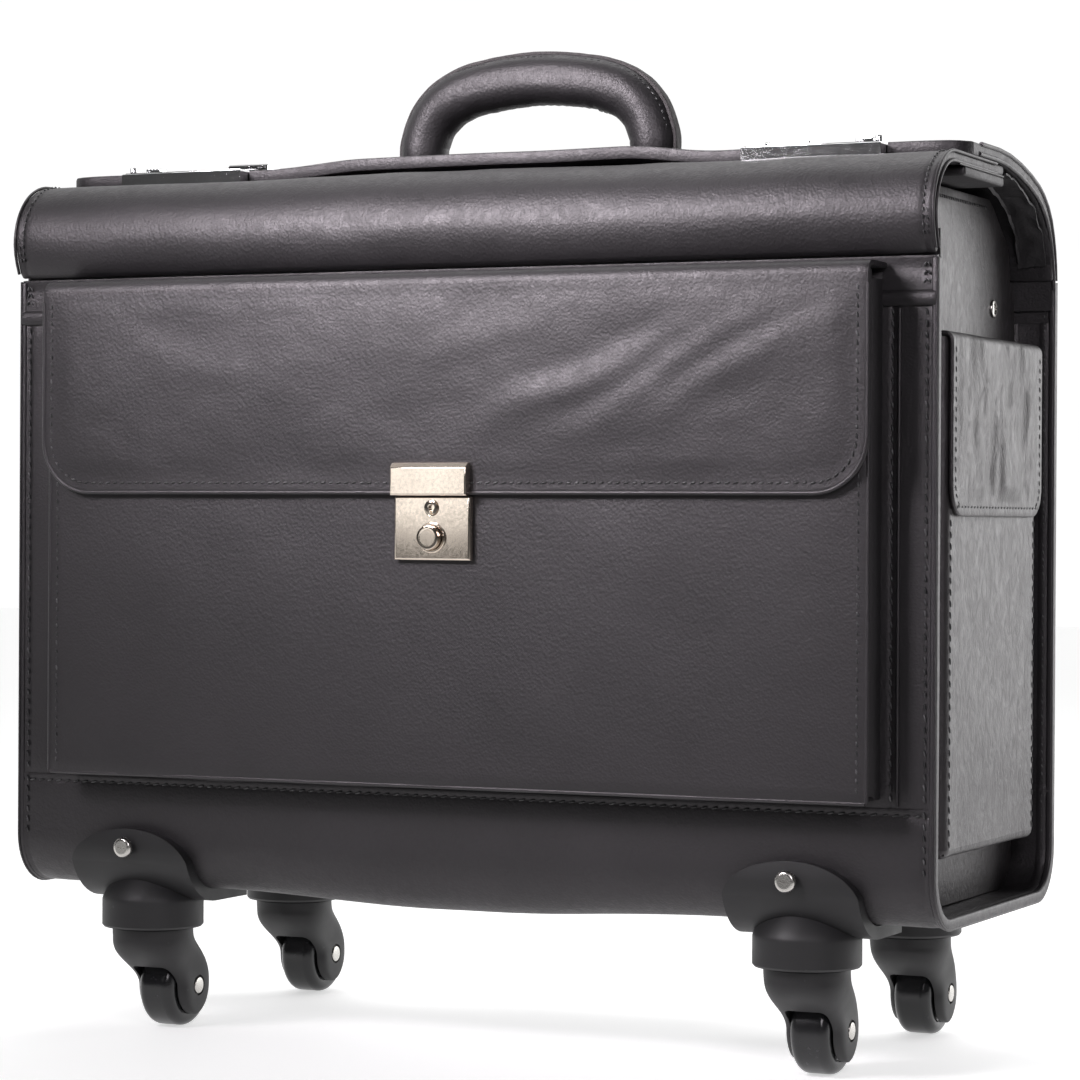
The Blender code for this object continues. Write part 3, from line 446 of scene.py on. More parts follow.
def leather_finish(name, dark, light, rough_low, rough_high, grain, crease, stretch=(1, 1, 1)):
    """Leather-look cloth: pebbles, fine wrinkles, uneven shine and faint scuffs."""
    material, nodes, links, shader = new_finish(
        name, dark, rough_low, Specular_IOR_Level=0.62, Specular_Tint=(1.0, 0.95, 0.98, 1.0)
    )
    place = nodes.new("ShaderNodeTexCoord").outputs["Object"]
    mapping = nodes.new("ShaderNodeMapping")
    mapping.inputs["Scale"].default_value = stretch
    links.new(place, mapping.inputs["Vector"])
    spot = mapping.outputs["Vector"]
    cloud = texture(nodes, links, "ShaderNodeTexNoise", 22, spot, Detail=3, Roughness=0.6)
    fine = texture(nodes, links, "ShaderNodeTexNoise", 900, spot, Detail=4, Roughness=0.65)
    wrinkle = texture(
        nodes, links, "ShaderNodeTexNoise", 160, spot, Detail=6, Roughness=0.62, Distortion=1.6
    )
    pebble = texture(nodes, links, "ShaderNodeTexVoronoi", 780, spot)
    pebble.feature = "SMOOTH_F1"
    pebble.inputs["Smoothness"].default_value = 0.35
    tint = remap(nodes, links, cloud.outputs["Fac"], 0.3, 0.7, 0.0, 1.0)
    links.new(blend_colours(nodes, links, tint, dark, light), shader.inputs["Base Color"])
    shine = remap(nodes, links, wrinkle.outputs["Fac"], 0.3, 0.7, rough_low, rough_high)
    links.new(shine, shader.inputs["Roughness"])
    normal = bump(nodes, links, cloud.outputs["Fac"], 0.004, 0.12)
    normal = bump(nodes, links, wrinkle.outputs["Fac"], 0.0006, crease, normal)
    normal = bump(nodes, links, pebble.outputs["Distance"], 0.00025, grain, normal)
    normal = bump(nodes, links, fine.outputs["Fac"], 0.00010, grain * 0.6, normal)
    links.new(normal, shader.inputs["Normal"])
    return material


def plastic_finish(name, colour, rough, speck):
    """Moulded plastic with a fine spark-eroded grain and small dust marks."""
    material, nodes, links, shader = new_finish(name, colour, rough)
    place = nodes.new("ShaderNodeTexCoord").outputs["Object"]
    grain = texture(nodes, links, "ShaderNodeTexNoise", 1400, place, Detail=3, Roughness=0.7)
    cloud = texture(nodes, links, "ShaderNodeTexNoise", 40, place, Detail=3, Roughness=0.5)
    dust = texture(nodes, links, "ShaderNodeTexNoise", 420, place, Detail=2, Roughness=0.5)
    spots = remap(nodes, links, dust.outputs["Fac"], 0.70, 0.76, 0.0, speck)
    pale = tuple(min(1.0, c * 9 + 0.02) for c in colour)
    links.new(blend_colours(nodes, links, spots, colour, pale), shader.inputs["Base Color"])
    shine = remap(nodes, links, cloud.outputs["Fac"], 0.3, 0.7, rough - 0.06, rough + 0.08)
    links.new(shine, shader.inputs["Roughness"])
    normal = bump(nodes, links, grain.outputs["Fac"], 0.00012, 0.35)
    links.new(normal, shader.inputs["Normal"])
    return material


def metal_finish(name, colour, rough, stretch=(1, 1, 1), scratch=0.12):
    """Plated or brushed metal with faint lines and uneven polish."""
    material, nodes, links, shader = new_finish(name, colour, rough, 1.0)
    place = nodes.new("ShaderNodeTexCoord").outputs["Object"]
    mapping = nodes.new("ShaderNodeMapping")
    mapping.inputs["Scale"].default_value = stretch
    links.new(place, mapping.inputs["Vector"])
    spot = mapping.outputs["Vector"]
    lines = texture(nodes, links, "ShaderNodeTexNoise", 600, spot, Detail=4, Roughness=0.7)
    cloud = texture(nodes, links, "ShaderNodeTexNoise", 60, place, Detail=2, Roughness=0.5)
    shine = remap(nodes, links, lines.outputs["Fac"], 0.3, 0.7, rough * 0.7, rough * 1.4 + 0.02)
    links.new(shine, shader.inputs["Roughness"])
    tint = remap(nodes, links, cloud.outputs["Fac"], 0.35, 0.65, 0.0, 1.0)
    worn = tuple(c * 0.90 for c in colour)
    links.new(blend_colours(nodes, links, tint, colour, worn), shader.inputs["Base Color"])
    normal = bump(nodes, links, lines.outputs["Fac"], 0.00003, scratch)
    links.new(normal, shader.inputs["Normal"])
    return material


def cloth_finish(name, colour, pitch):
    """Woven lining: fine crossed threads."""
    material, nodes, links, shader = new_finish(name, colour, 0.8)
    shader.inputs["Sheen Weight"].default_value = 0.25
    shader.inputs["Sheen Roughness"].default_value = 0.5
    place = nodes.new("ShaderNodeTexCoord").outputs["Object"]
    waves = []
    for axis in ("X", "Z"):
        wave = texture(nodes, links, "ShaderNodeTexWave", 0.314 / pitch, place, Distortion=0.6)
        wave.bands_direction = axis
        waves.append(wave.outputs["Fac"])
    both = nodes.new("ShaderNodeMath")
    both.operation = "MULTIPLY"
    links.new(waves[0], both.inputs[0])
    links.new(waves[1], both.inputs[1])
    fleck = texture(nodes, links, "ShaderNodeTexNoise", 300, place, Detail=3)
    tint = remap(nodes, links, fleck.outputs["Fac"], 0.35, 0.65, 0.0, 1.0)
    pale = tuple(c * 1.7 for c in colour)
    links.new(blend_colours(nodes, links, tint, colour, pale), shader.inputs["Base Color"])
    links.new(bump(nodes, links, both.outputs["Value"], 0.0002, 0.5), shader.inputs["Normal"])
    return material


def thread_finish():
    """Waxed thread, dark with pale wear on some stitches."""
    material, nodes, links, shader = new_finish("stitch_thread", (0.02, 0.02, 0.02), 0.45)
    place = nodes.new("ShaderNodeTexCoord").outputs["Object"]
    wear = texture(nodes, links, "ShaderNodeTexNoise", 240, place, Detail=2)
    pale = remap(nodes, links, wear.outputs["Fac"], 0.45, 0.68, 0.0, 1.0)
    colours = blend_colours(nodes, links, pale, (0.012, 0.012, 0.013), (0.085, 0.083, 0.086))
    links.new(colours, shader.inputs["Base Color"])
    twist = texture(nodes, links, "ShaderNodeTexNoise", 2600, place, Detail=1)
    links.new(bump(nodes, links, twist.outputs["Fac"], 0.0001, 0.4), shader.inputs["Normal"])
    return material


LEATHER = leather_finish(
    "black_leather", (0.0070, 0.0065, 0.0073), (0.0105, 0.0096, 0.0108), 0.44, 0.58, 0.40, 0.26
)
LEATHER_EDGE = leather_finish(
    "turned_edge", (0.0095, 0.0088, 0.0098), (0.015, 0.0138, 0.0155), 0.40, 0.52, 0.24, 0.20
)
# Darker, rougher copy of the leather: painted shade for the pieces in gaps and under flaps (gussets, hinge
# cloths, the flap's under-board).
LEATHER_SHADED = leather_finish(
    "painted_shade_leather", (0.006, 0.0057, 0.0063), (0.009, 0.0085, 0.0095), 0.50, 0.62, 0.30, 0.25
)
RAW_EDGE = leather_finish(
    "raw_edge", (0.020, 0.018, 0.018), (0.040, 0.036, 0.036), 0.62, 0.80, 0.60, 0.50
)
LEATHER_SIDE = leather_finish(
    "end_leather", (0.013, 0.0118, 0.0126), (0.026, 0.0235, 0.0245), 0.34, 0.52, 0.34, 0.55,
    (1, 1, 0.55)
)
PLASTIC = plastic_finish("black_plastic", (0.0085, 0.0080, 0.0090), 0.52, 0.14)
WHEEL = plastic_finish("wheel_rubber", (0.010, 0.010, 0.011), 0.20, 0.35)
NICKEL = metal_finish("lock_nickel", (0.80, 0.70, 0.60), 0.10, (1, 1, 1), 0.05)
CHROME = metal_finish("latch_chrome", (0.86, 0.86, 0.87), 0.07, (1, 1, 1), 0.04)
STEEL = metal_finish("steel", (0.60, 0.58, 0.55), 0.22, (1, 1, 6), 0.12)
ALUMINIUM = metal_finish("aluminium_tube", (0.62, 0.63, 0.65), 0.26, (8, 8, 0.4), 0.20)
THREAD = thread_finish()
LINING = cloth_finish("inner_lining", (0.022, 0.022, 0.025), 0.0012)


def fit(piece, body, material, *nodes):
    """Gives a piece its finish and slot, rides it on a body and hides what it stands for."""
    piece.data.materials.clear()
    piece.data.materials.append(material)
    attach(piece, body)
    if nodes:
        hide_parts(*nodes)
    return piece


def at_y(points):
    """(x, y, z) points with y measured from the middle of the case."""
    return [(x, y + CASE_Y, z) for x, y, z in points]


# ------------------------------------------------------------------ shells of the case
def soften(amount, scale, seed=0.0, keep=0.0):
    """Slow hand-feel unevenness along each vertex's own direction; none near the ends."""
    def move(co, normal):
        fade = ramp(HALF_X - abs(co.x), keep, keep + 0.02)
        return normal * ripple(co, scale, seed) * amount * fade
    return move


def fine_columns(seams, pitch):
    """Places for columns: even ones, with closer ones at each seam."""
    near = [x + d for x in seams for d in (-0.0024, -0.0012, -0.0005, 0, 0.0005, 0.0012, 0.0024)]
    count = round(2 * HALF_X / pitch)
    even = [-HALF_X + 2 * HALF_X * k / count for k in range(1, count)]
    even = [x for x in even if all(abs(x - seam) > 0.0034 for seam in seams)]
    return [x for x in sorted(near + even) if abs(x) < HALF_X - 0.002]


def pull_in(seams, depth=0.0005, width=0.0011):
    """A seam draws the cover in along its line."""
    def move(co, normal):
        return normal * -depth * max(bump_at(co.x - seam, width) for seam in seams)
    return move


ALL_SEAMS = (-SEAM_X, SEAM_X, -INNER_SEAM_X, INNER_SEAM_X)
END_SEAMS = (-SEAM_X, SEAM_X)


def tray_path():
    """Profile of the kick band: down the back, along the floor, up the front."""
    centre_y = HALF_Y - CORNER
    centre_z = UNDERSIDE + CORNER
    path = [(HALF_Y, KICK_TOP - step) for step in (0, 0.0016, 0.0023, 0.0030, 0.0037, 0.0046, 0.010)]
    path += arc((centre_y, centre_z), CORNER, 0, -90, 8)
    path += [(centre_y * k / 5, UNDERSIDE) for k in (4, 3, 2, 1, 0, -1, -2, -3, -4)]
    path += arc((-centre_y, centre_z), CORNER, -90, -180, 8)
    path += [(-HALF_Y, KICK_TOP - step) for step in (0.010, 0.0046, 0.0037, 0.0030, 0.0023, 0.0016, 0)]
    return path


def sag(co):
    """How far the floor hangs down between the casters."""
    return 0.0042 * ramp(0.136 - abs(co.x), 0, 0.13) * ramp(0.098 - co.z, 0, 0.026)


def make_kick_band():
    columns = fine_columns(END_SEAMS, 0.0065)
    band = bent_sheet("kick_band", tray_path(), -HALF_X + 0.0012, HALF_X - 0.0012, columns)
    shape(band, soften(0.0005, 0.05, 3.0, 0.004))
    shape(band, pull_in(END_SEAMS))
    shape(band, lambda co, normal: normal * -0.0005 * bump_at(co.z - KICK_TOP + 0.0030, 0.0009))
    shape(band, lambda co, normal: (0, 0, -sag(co)))
    thicken(band, BOARD, 0.0011)
    fit(band, "case", LEATHER, "base_tray")


def panel(name, y, low, high, seed, node):
    """A flat wall of covered board at the front or back."""
    steps = 24
    path = [(y, low + (high - low) * k / steps) for k in range(steps + 1)]
    if y > 0:
        path.reverse()
    columns = fine_columns(ALL_SEAMS, 0.010)
    wall = bent_sheet(name, path, -HALF_X + 0.0012, HALF_X - 0.0012, columns)
    shape(wall, soften(0.0007, 0.06, seed, 0.004))
    shape(wall, pull_in(ALL_SEAMS))
    thicken(wall, BOARD - 0.0004, 0.0010)
    fit(wall, "case", LEATHER, node)


def make_hinge_strip(word, side):
    """The creased strip under a flap, with a round rib along its lower seam."""
    steps = 22
    path = []
    for k in range(steps + 1):
        z = STRIP_Z + (HINGE_Z - STRIP_Z) * k / steps
        rib = 0.0016 * math.sqrt(max(0.0, 1 - ((z - STRIP_Z - 0.0033) / 0.0034) ** 2))
        hollow = 0.0009 * bump_at(z - 0.3585, 0.004)
        path.append((side * (HALF_Y + (rib if side < 0 else 0) - hollow), z))
    if side > 0:
        path.reverse()
    columns = fine_columns(END_SEAMS, 0.0050)
    strip = bent_sheet(f"hinge_strip_{word}", path, -HALF_X + 0.0012, HALF_X - 0.0012, columns)

    def crease(co, normal):
        wave = ripple(co, 0.014, 5.0) * 0.5 + ripple(co, 0.006, 8.0) * 0.3
        return normal * 0.0006 * wave * ramp(co.z, STRIP_Z + 0.006, STRIP_Z + 0.010)

    shape(strip, crease)
    thicken(strip, BOARD - 0.0006, 0.0005)
    fit(strip, "case", LEATHER, f"{word}_hinge_strip")


def rim_path(offset):
    """The whole edge of the case, from the back hinge down, under and up to the front hinge."""
    reach = HALF_Y + offset
    centre_y = HALF_Y - CORNER
    centre_z = UNDERSIDE + CORNER
    turn = CORNER + offset
    path = [(reach, HINGE_Z - 0.0005 - 0.022 * k) for k in range(12)]
    path += arc((centre_y, centre_z), turn, 0, -90, 10)
    path += [(0.0, UNDERSIDE - offset)]
    path += arc((-centre_y, centre_z), turn, -90, -180, 10)
    path += [(-reach, HINGE_Z - 0.0005 - 0.022 * k) for k in range(11, -1, -1)]
    return path


def make_rims():
    """Turned and piped binding along both ends of the shells."""
    for word, side in (("left", -1), ("right", 1)):
        low, high = sorted((side * (HALF_X - 0.0034), side * (HALF_X - 0.0001)))
        binding = bent_sheet(f"edge_binding_{word}", rim_path(0.0005), low, high, 3)
        shape(binding, lambda co, normal: normal * 0.00025 * ripple(co, 0.010, 2.0))
        use(binding, "SOLIDIFY", thickness=BOARD + 0.0010, offset=-1.0, use_even_offset=True)
        use(binding, "BEVEL", width=0.0011, segments=3, limit_method="ANGLE",
            angle_limit=math.radians(50))
        smooth(binding, 50)
        fit(binding, "case", LEATHER_EDGE)
        beads = []
        for depth in (0.0001, BOARD + 0.0001):
            points = [(side * (HALF_X - 0.0009), y, z) for y, z in rim_path(0.0006 - depth)]
            beads.append(cord_line(f"edge_bead_{word}", at_y(points), 0.00062, sides=2))
        fit(join(f"edge_bead_{word}", *beads), "case", LEATHER_EDGE)


def make_shell_stitching():
    rows = []
    front = (0, -1, 0)
    back = (0, 1, 0)
    for side in (-1, 1):
        x = side * SEAM_X
        low = UNDERSIDE + CORNER
        rows.append(stitches("row", at_y([(x, -HALF_Y, low), (x, -HALF_Y, KICK_TOP)]), front))
        rows.append(stitches(
            "row", at_y([(x, -HALF_Y, KICK_TOP + 0.002), (x, -HALF_Y, STRIP_Z)]), front
        ))
        x = side * INNER_SEAM_X
        rows.append(stitches(
            "row", at_y([(x, -HALF_Y, KICK_TOP + 0.002), (x, -HALF_Y, STRIP_Z)]), front
        ))
        for shift in (-0.0009, 0.0009):
            x = side * SEAM_X + shift
            rows.append(stitches(
                "row", at_y([(x, -HALF_Y, STRIP_Z + 0.009), (x, -HALF_Y, HINGE_Z - 0.002)]),
                front, 0.0036, 30 if shift > 0 else -30, 0.0002
            ))
        x = side * SEAM_X
        rows.append(stitches("row", at_y([(x, HALF_Y, low), (x, HALF_Y, STRIP_Z)]), back))
    z = KICK_TOP - 0.0030
    reach = HALF_X - 0.006
    rows.append(stitches("row", at_y([(-reach, -HALF_Y, z), (reach, -HALF_Y, z)]), front))
    rows.append(stitches("row", at_y([(-reach, HALF_Y, z), (reach, HALF_Y, z)]), back))
    rows.append(stitches(
        "row", at_y([(-reach, HALF_Y, STRIP_Z + 0.004), (reach, HALF_Y, STRIP_Z + 0.004)]), back
    ))
    fit(join("shell_stitching", *rows), "case", THREAD)


def make_edge_fold(side, word):
    """The rolled edge of the narrow lap beside the front panel's inner seam, as a round bead."""
    x = side * (HALF_X - 0.0178)
    points = at_y([(x, -HALF_Y - 0.0002, KICK_TOP + 0.001), (x, -HALF_Y - 0.0002, STRIP_Z - 0.001)])
    bead = cord_line(f"panel_fold_{word}", points, 0.0009, sides=3)
    fit(bead, "case", LEATHER_EDGE)


# ------------------------------------------------------------------ flaps on top
FLAP_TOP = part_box("front_flap")[1].z
FLAP_CURVE = 0.030
FLAP_BULGE = 0.0065
REAR_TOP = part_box("rear_flap")[1].z
REAR_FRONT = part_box("rear_flap")[0].y - CASE_Y
FRONT_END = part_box("front_flap")[1].y - CASE_Y


def front_flap_path(offset=0.0):
    """Up from the front hinge, bulging, over the curve and back along the top."""
    bulge = HALF_Y + FLAP_BULGE + offset
    centre = (-(HALF_Y + FLAP_BULGE) + FLAP_CURVE, FLAP_TOP - FLAP_CURVE)
    path = [(-(HALF_Y + offset * 0.5), HINGE_Z + 0.0006)]
    path += [(-(HALF_Y + 0.0026 + offset), HINGE_Z + 0.0032), (-(HALF_Y + 0.0046 + offset), HINGE_Z + 0.008)]
    path += [(-bulge + 0.0006, HINGE_Z + 0.0125)]
    path += arc(centre, FLAP_CURVE + offset, 180, 90, 14)
    return path


def make_front_flap():
    path = front_flap_path()
    start = path[-1][0]
    path += [(start + (FRONT_END - start) * k / 10, FLAP_TOP) for k in range(1, 11)]
    columns = fine_columns(END_SEAMS, 0.0050)
    flap = bent_sheet("front_flap_cover", path, -HALF_X + 0.0012, HALF_X - 0.0012, columns)

    def settle_down(co, normal):
        soft = ripple(co, 0.045, 1.0) * 0.0007 + ripple(co, 0.018, 4.0) * 0.00025
        low = ramp(0.392 - co.z, 0, 0.02)
        folds = 0.0007 * low * ripple(Vector((co.x * 2.0, co.y, co.z * 0.5)), 0.02, 6.0)
        return normal * (soft + folds) * ramp(co.z, HINGE_Z + 0.006, HINGE_Z + 0.022)

    shape(flap, settle_down)
    shape(flap, pull_in(END_SEAMS))
    thicken(flap, 0.0044, 0.0012)
    fit(flap, "front_flap", LEATHER, "front_flap")
    low = FLAP_TOP - 0.0095
    lip = cube(
        "front_flap_board", (-HALF_X + 0.0008, CASE_Y - 0.052, low),
        (HALF_X - 0.0008, CASE_Y + FRONT_END - 0.0006, low + 0.0046), 0.0014, 3
    )
    # The under-board takes the darker leather as painted shade.
    fit(lip, "front_flap", LEATHER_SHADED)
    edge_pieces = []
    for side in (-1, 1):
        x = side * (HALF_X - 0.0009)
        for depth in (0.0, 0.0043):
            line = [(x, y, z) for y, z in front_flap_path(0.0002 - depth)[1:]]
            line += [(x, FRONT_END - 0.012, FLAP_TOP + 0.0001 - depth)]
            edge_pieces.append(cord_line("bead", at_y(line), 0.00075, sides=2))
        line = [(x, -0.060, low + 0.0046), (x, FRONT_END - 0.002, low + 0.0046)]
        edge_pieces.append(cord_line("bead", at_y(line), 0.0005, sides=2))
    fit(join("front_flap_piping", *edge_pieces), "front_flap", LEATHER_EDGE)
    rows = []
    for side in (-1, 1):
        x = side * SEAM_X
        line = at_y([(x, y, z) for y, z in front_flap_path(0.0003)[2:]])
        line += at_y([(x, -0.052, FLAP_TOP)])

        def outward(spot):
            middle = Vector((spot.x, CASE_Y - HALF_Y - FLAP_BULGE + FLAP_CURVE, FLAP_TOP - FLAP_CURVE))
            way = spot - middle
            return (0, min(way.y, 0.001), max(way.z, -0.004))

        rows.append(stitches("row", line, outward, 0.0034))
        inner = side * (HALF_X - 0.0035)
        line = at_y([(inner, y, z) for y, z in front_flap_path(0.0003)[2:6]])
        rows.append(stitches("row", line, (0, -1, 0), 0.0036, 30))
    fit(join("front_flap_stitching", *rows), "front_flap", THREAD)


def rear_flap_path():
    """From the front edge, over the shoulder and down to the back hinge."""
    path = [(REAR_FRONT + 0.0016 * k, REAR_TOP) for k in range(8)]
    path += [(REAR_FRONT + 0.0128 + 0.0083 * k, REAR_TOP) for k in range(5)]
    slope = [(-0.002, REAR_TOP), (0.014, REAR_TOP - 0.0010), (0.030, REAR_TOP - 0.0034)]
    slope += [(0.046, REAR_TOP - 0.0070), (0.0585, 0.4070), (0.0660, 0.4036), (0.0735, 0.3985)]
    slope += [(0.0790, 0.3925), (0.0825, 0.3860), (0.0852, 0.3785), (0.0868, 0.3710)]
    slope += [(0.0874, HINGE_Z + 0.0006)]
    return path[:-1] + slope


def rear_lift(co):
    """The flap bows up a little under the carry handle, and its front corners are rounded."""
    back = co.y - CASE_Y - REAR_FRONT
    lift = 0.0034 * ramp(0.118 - abs(co.x), 0, 0.05) * ramp(0.060 - back, 0, 0.05)
    over = max(0.0, abs(co.x) - (HALF_X - 0.0132))
    pull = 0.0132 - math.sqrt(max(0.0, 0.0132 ** 2 - min(over, 0.0132) ** 2))
    return (0, pull * ramp(0.045 - back, 0, 0.045), lift)


def make_rear_flap():
    flap = bent_sheet("rear_flap_cover", rear_flap_path(), -HALF_X + 0.0006, HALF_X - 0.0006, 160)
    shape(flap, soften(0.0006, 0.05, 7.0, 0.004))

    def rim(co, normal):
        back = co.y - CASE_Y - REAR_FRONT
        edge = min(back, HALF_X - abs(co.x))
        return (0, 0, -0.0007 * bump_at(edge - 0.0072, 0.0012)) if co.z > 0.40 else (0, 0, 0)

    shape(flap, rim)
    shape(flap, lambda co, normal: rear_lift(co))
    thicken(flap, 0.0060, 0.0024)
    cutters = []
    for word in ("left", "right"):
        low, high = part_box(f"latch_body_{word}")
        gap = Vector((0.0004, 0.0004, 0))
        low, high = low - gap, high + gap
        low.y -= 0.03
        cutters.append(cube("cutter", (low.x, low.y, 0.40), (high.x, high.y, 0.43)))
    cut_with(flap, *cutters)
    smooth(flap, 40)
    fit(flap, "rear_flap", LEATHER, "rear_flap")
    rows = []
    piping = []
    for side in (-1, 1):
        x = side * (HALF_X - 0.0008)
        line = [
            (x, y, z - 0.0002) for y, z in rear_flap_path() if y > REAR_FRONT + 0.016
        ]
        piping.append(cord_line("bead", at_y(line), 0.0011, sides=3))
        line = [(x, y - 0.003, z - 0.0048) for y, z in rear_flap_path() if y > REAR_FRONT + 0.016]
        piping.append(cord_line("bead", at_y(line), 0.0011, sides=3))
        x = side * SEAM_X
        line = at_y([(x, y, z) for y, z in rear_flap_path() if y > REAR_FRONT + 0.016])
        rows.append(stitches("row", line, lambda spot: (
            0, ramp(spot.y, 0.06, 0.085), 1 - ramp(spot.y, 0.07, 0.09)), lift=0.0002))
    y = REAR_FRONT + 0.0072
    spans = [(-0.1268, 0.1268), (0.2006, HALF_X - 0.012), (-HALF_X + 0.012, -0.2006)]
    for low, high in spans:
        line = []
        for k in range(13):
            co = Vector((low + (high - low) * k / 12, y + CASE_Y, REAR_TOP - 0.0006))
            line.append(co + Vector(rear_lift(co)))
        rows.append(stitches("row", line, (0, 0, 1)))
    fit(join("rear_flap_piping", *piping), "rear_flap", LEATHER_EDGE)
    fit(join("rear_flap_stitching", *rows), "rear_flap", THREAD)


def make_flap_gussets():
    """Strips of crumpled cover on the rear flap's inside, outside the end panels, in leather painted darker
    as shade.
    """
    path = [(y - 0.0045 * ramp(y, 0.03, 0.08), z - 0.0066) for y, z in rear_flap_path() if y > 0.006]
    path = [(y, z) for y, z in path if z > HINGE_Z + 0.004]
    fine = spaced([(y, z, 0) for y, z in path], 0.003)
    pieces = []
    for side in (-1, 1):
        low, high = sorted((side * (END_HIGH.x + 0.0012), side * (HALF_X - 0.0026)))
        fold = bent_sheet("gusset", [(p.x, p.y) for p in fine], low, high, 12)

        def crumple(co, normal):
            wave = noise.noise(Vector((co.x / 0.012, co.y / 0.008, co.z / 0.008 + side)))
            wave += 0.6 * noise.noise(Vector((co.x / 0.006, co.y / 0.004, co.z / 0.004)))
            free = ramp(abs(co.x), END_HIGH.x, END_HIGH.x + 0.006)
            return normal * (0.0016 * wave - 0.0016 - 0.0022 * (1 - free))

        shape(fold, crumple)
        use(fold, "SOLIDIFY", thickness=0.0010, offset=-1.0)
        smooth(fold, 60)
        pieces.append(fold)
    # Darker leather as painted shade under the rear flap.
    fit(join("rear_flap_gussets", *pieces), "rear_flap", LEATHER_SHADED)


def make_hinge_cloths():
    """Strips of cover behind the two flap hinges."""
    for word, side in (("front", -1), ("rear", 1)):
        depth = HALF_Y - 0.0046
        path = [(side * depth, HINGE_Z - 0.014 + 0.002 * k) for k in range(14)]
        if side > 0:
            path = [(y - 0.0040 * ramp(z, HINGE_Z, HINGE_Z + 0.012), z) for y, z in reversed(path)]
        cloth = bent_sheet(f"{word}_hinge_cloth", path, -HALF_X + 0.0012, HALF_X - 0.0012, 12)
        use(cloth, "SOLIDIFY", thickness=0.0009, offset=-1.0)
        smooth(cloth, 50)
        # Darker leather as painted shade behind the hinges.
        cloth.data.materials.append(LEATHER_SHADED)
        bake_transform(cloth)


# ------------------------------------------------------------------ front pocket
POCKET_LOW, POCKET_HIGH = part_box("front_pocket")
POCKET_X = (POCKET_LOW.x + POCKET_HIGH.x) / 2
POCKET_HALF = (POCKET_HIGH.x - POCKET_LOW.x) / 2
POCKET_FRONT = POCKET_LOW.y - CASE_Y
LID_LOW, LID_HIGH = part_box("front_pocket_flap")
LID_HALF = (LID_HIGH.x - LID_LOW.x) / 2
LID_FRONT = LID_LOW.y - CASE_Y
LID_ROUND = 0.025


def pocket_face_move(co, normal):
    """The pocket's front: fuller low down, nipped in under the flap, a slack wave near its foot."""
    along = (co.x - POCKET_X) / POCKET_HALF
    inside = ramp(1 - abs(along), 0.0, 0.10)
    full = 0.0008 * math.sin(math.pi * min(1, max(0, (co.z - 0.13) / 0.2))) * inside
    tilt = noise.noise(Vector(((co.x + co.z) / 0.05, (co.z - co.x * 0.6) / 0.10, 3.0)))
    soft = 0.0005 * ripple(co, 0.040, 11.0) + 0.0003 * tilt
    return (0, -(full + soft * inside), 0)


def make_front_pocket():
    """Front leaf with turned edges, and gussets folded in at the sides and foot, in leather painted darker as
    shade.
    """
    front = POCKET_FRONT + 0.0012
    steps = 34
    foot, top = POCKET_LOW.z, POCKET_HIGH.z
    path = [(front, foot + (top - foot) * k / steps) for k in range(steps + 1)]
    leaf = bent_sheet("pocket_front", path, POCKET_X - POCKET_HALF, POCKET_X + POCKET_HALF, 64)
    shape(leaf, pocket_face_move)
    thicken(leaf, 0.0016, 0.0007)
    fit(leaf, "case", LEATHER, "front_pocket")

    pieces = []
    for side in (-1, 1):
        outer = POCKET_HALF - 0.0012
        fold = [
            (outer, POCKET_FRONT + 0.0030), (outer - 0.0012, POCKET_FRONT + 0.0055),
            (outer - 0.0066, POCKET_FRONT + 0.0105), (outer - 0.0012, POCKET_FRONT + 0.0160),
            (outer, POCKET_FRONT + 0.0200),
        ]
        line = spaced([(x, y, 0) for x, y in fold], 0.002)
        gusset = bent_sheet(
            "gusset", [(p.y, p.x) for p in line], foot + 0.0010, top - 0.0040, 18
        )
        turn = Matrix(((0, 0, side, POCKET_X), (0, 1, 0, 0), (1, 0, 0, 0), (0, 0, 0, 1)))
        gusset.data.transform(turn)
        if side < 0:
            gusset.data.flip_normals()
        shape(gusset, lambda co, normal: normal * 0.0004 * ripple(co, 0.02, 9.0))
        use(gusset, "SOLIDIFY", thickness=0.0010, offset=0.0)
        smooth(gusset, 60)
        pieces.append(gusset)
    floor = cube(
        "floor", (POCKET_X - POCKET_HALF + 0.002, CASE_Y + POCKET_FRONT + 0.003, foot + 0.0006),
        (POCKET_X + POCKET_HALF - 0.002, CASE_Y - HALF_Y - 0.0004, foot + 0.0022), 0.0005
    )
    pieces.append(floor)
    back = cube(
        "back", (POCKET_X - POCKET_HALF + 0.001, CASE_Y - HALF_Y - 0.0016, foot + 0.001),
        (POCKET_X + POCKET_HALF - 0.001, CASE_Y - HALF_Y - 0.0006, top - 0.001), 0.0003
    )
    pieces.append(back)
    # Gussets, floor and back in the darker leather: painted shade inside the pocket.
    fit(join("pocket_gussets", *pieces), "case", LEATHER_SHADED)

    beads = []
    rows = []
    for side in (-1, 1):
        x = POCKET_X + side * (POCKET_HALF - 0.0004)
        line = [(x, front + 0.0007, foot + 0.001), (x, front + 0.0007, top - 0.001)]
        beads.append(cord_line("bead", at_y(line), 0.0010, sides=3))
        x = POCKET_X + side * (POCKET_HALF - 0.0046)
        rows.append(stitches(
            "row", at_y([(x, front, foot + 0.004), (x, front, top - 0.004)]), (0, -1, 0), 0.0040, lift=0.0001
        ))
    line = [(POCKET_X - POCKET_HALF + 0.001, front + 0.0007, foot + 0.0002)]
    line += [(POCKET_X + POCKET_HALF - 0.001, front + 0.0007, foot + 0.0002)]
    beads.append(cord_line("bead", at_y(line), 0.0010, sides=3))
    fit(join("pocket_piping", *beads), "case", LEATHER_EDGE)
    fit(join("pocket_stitching", *rows), "case", THREAD)


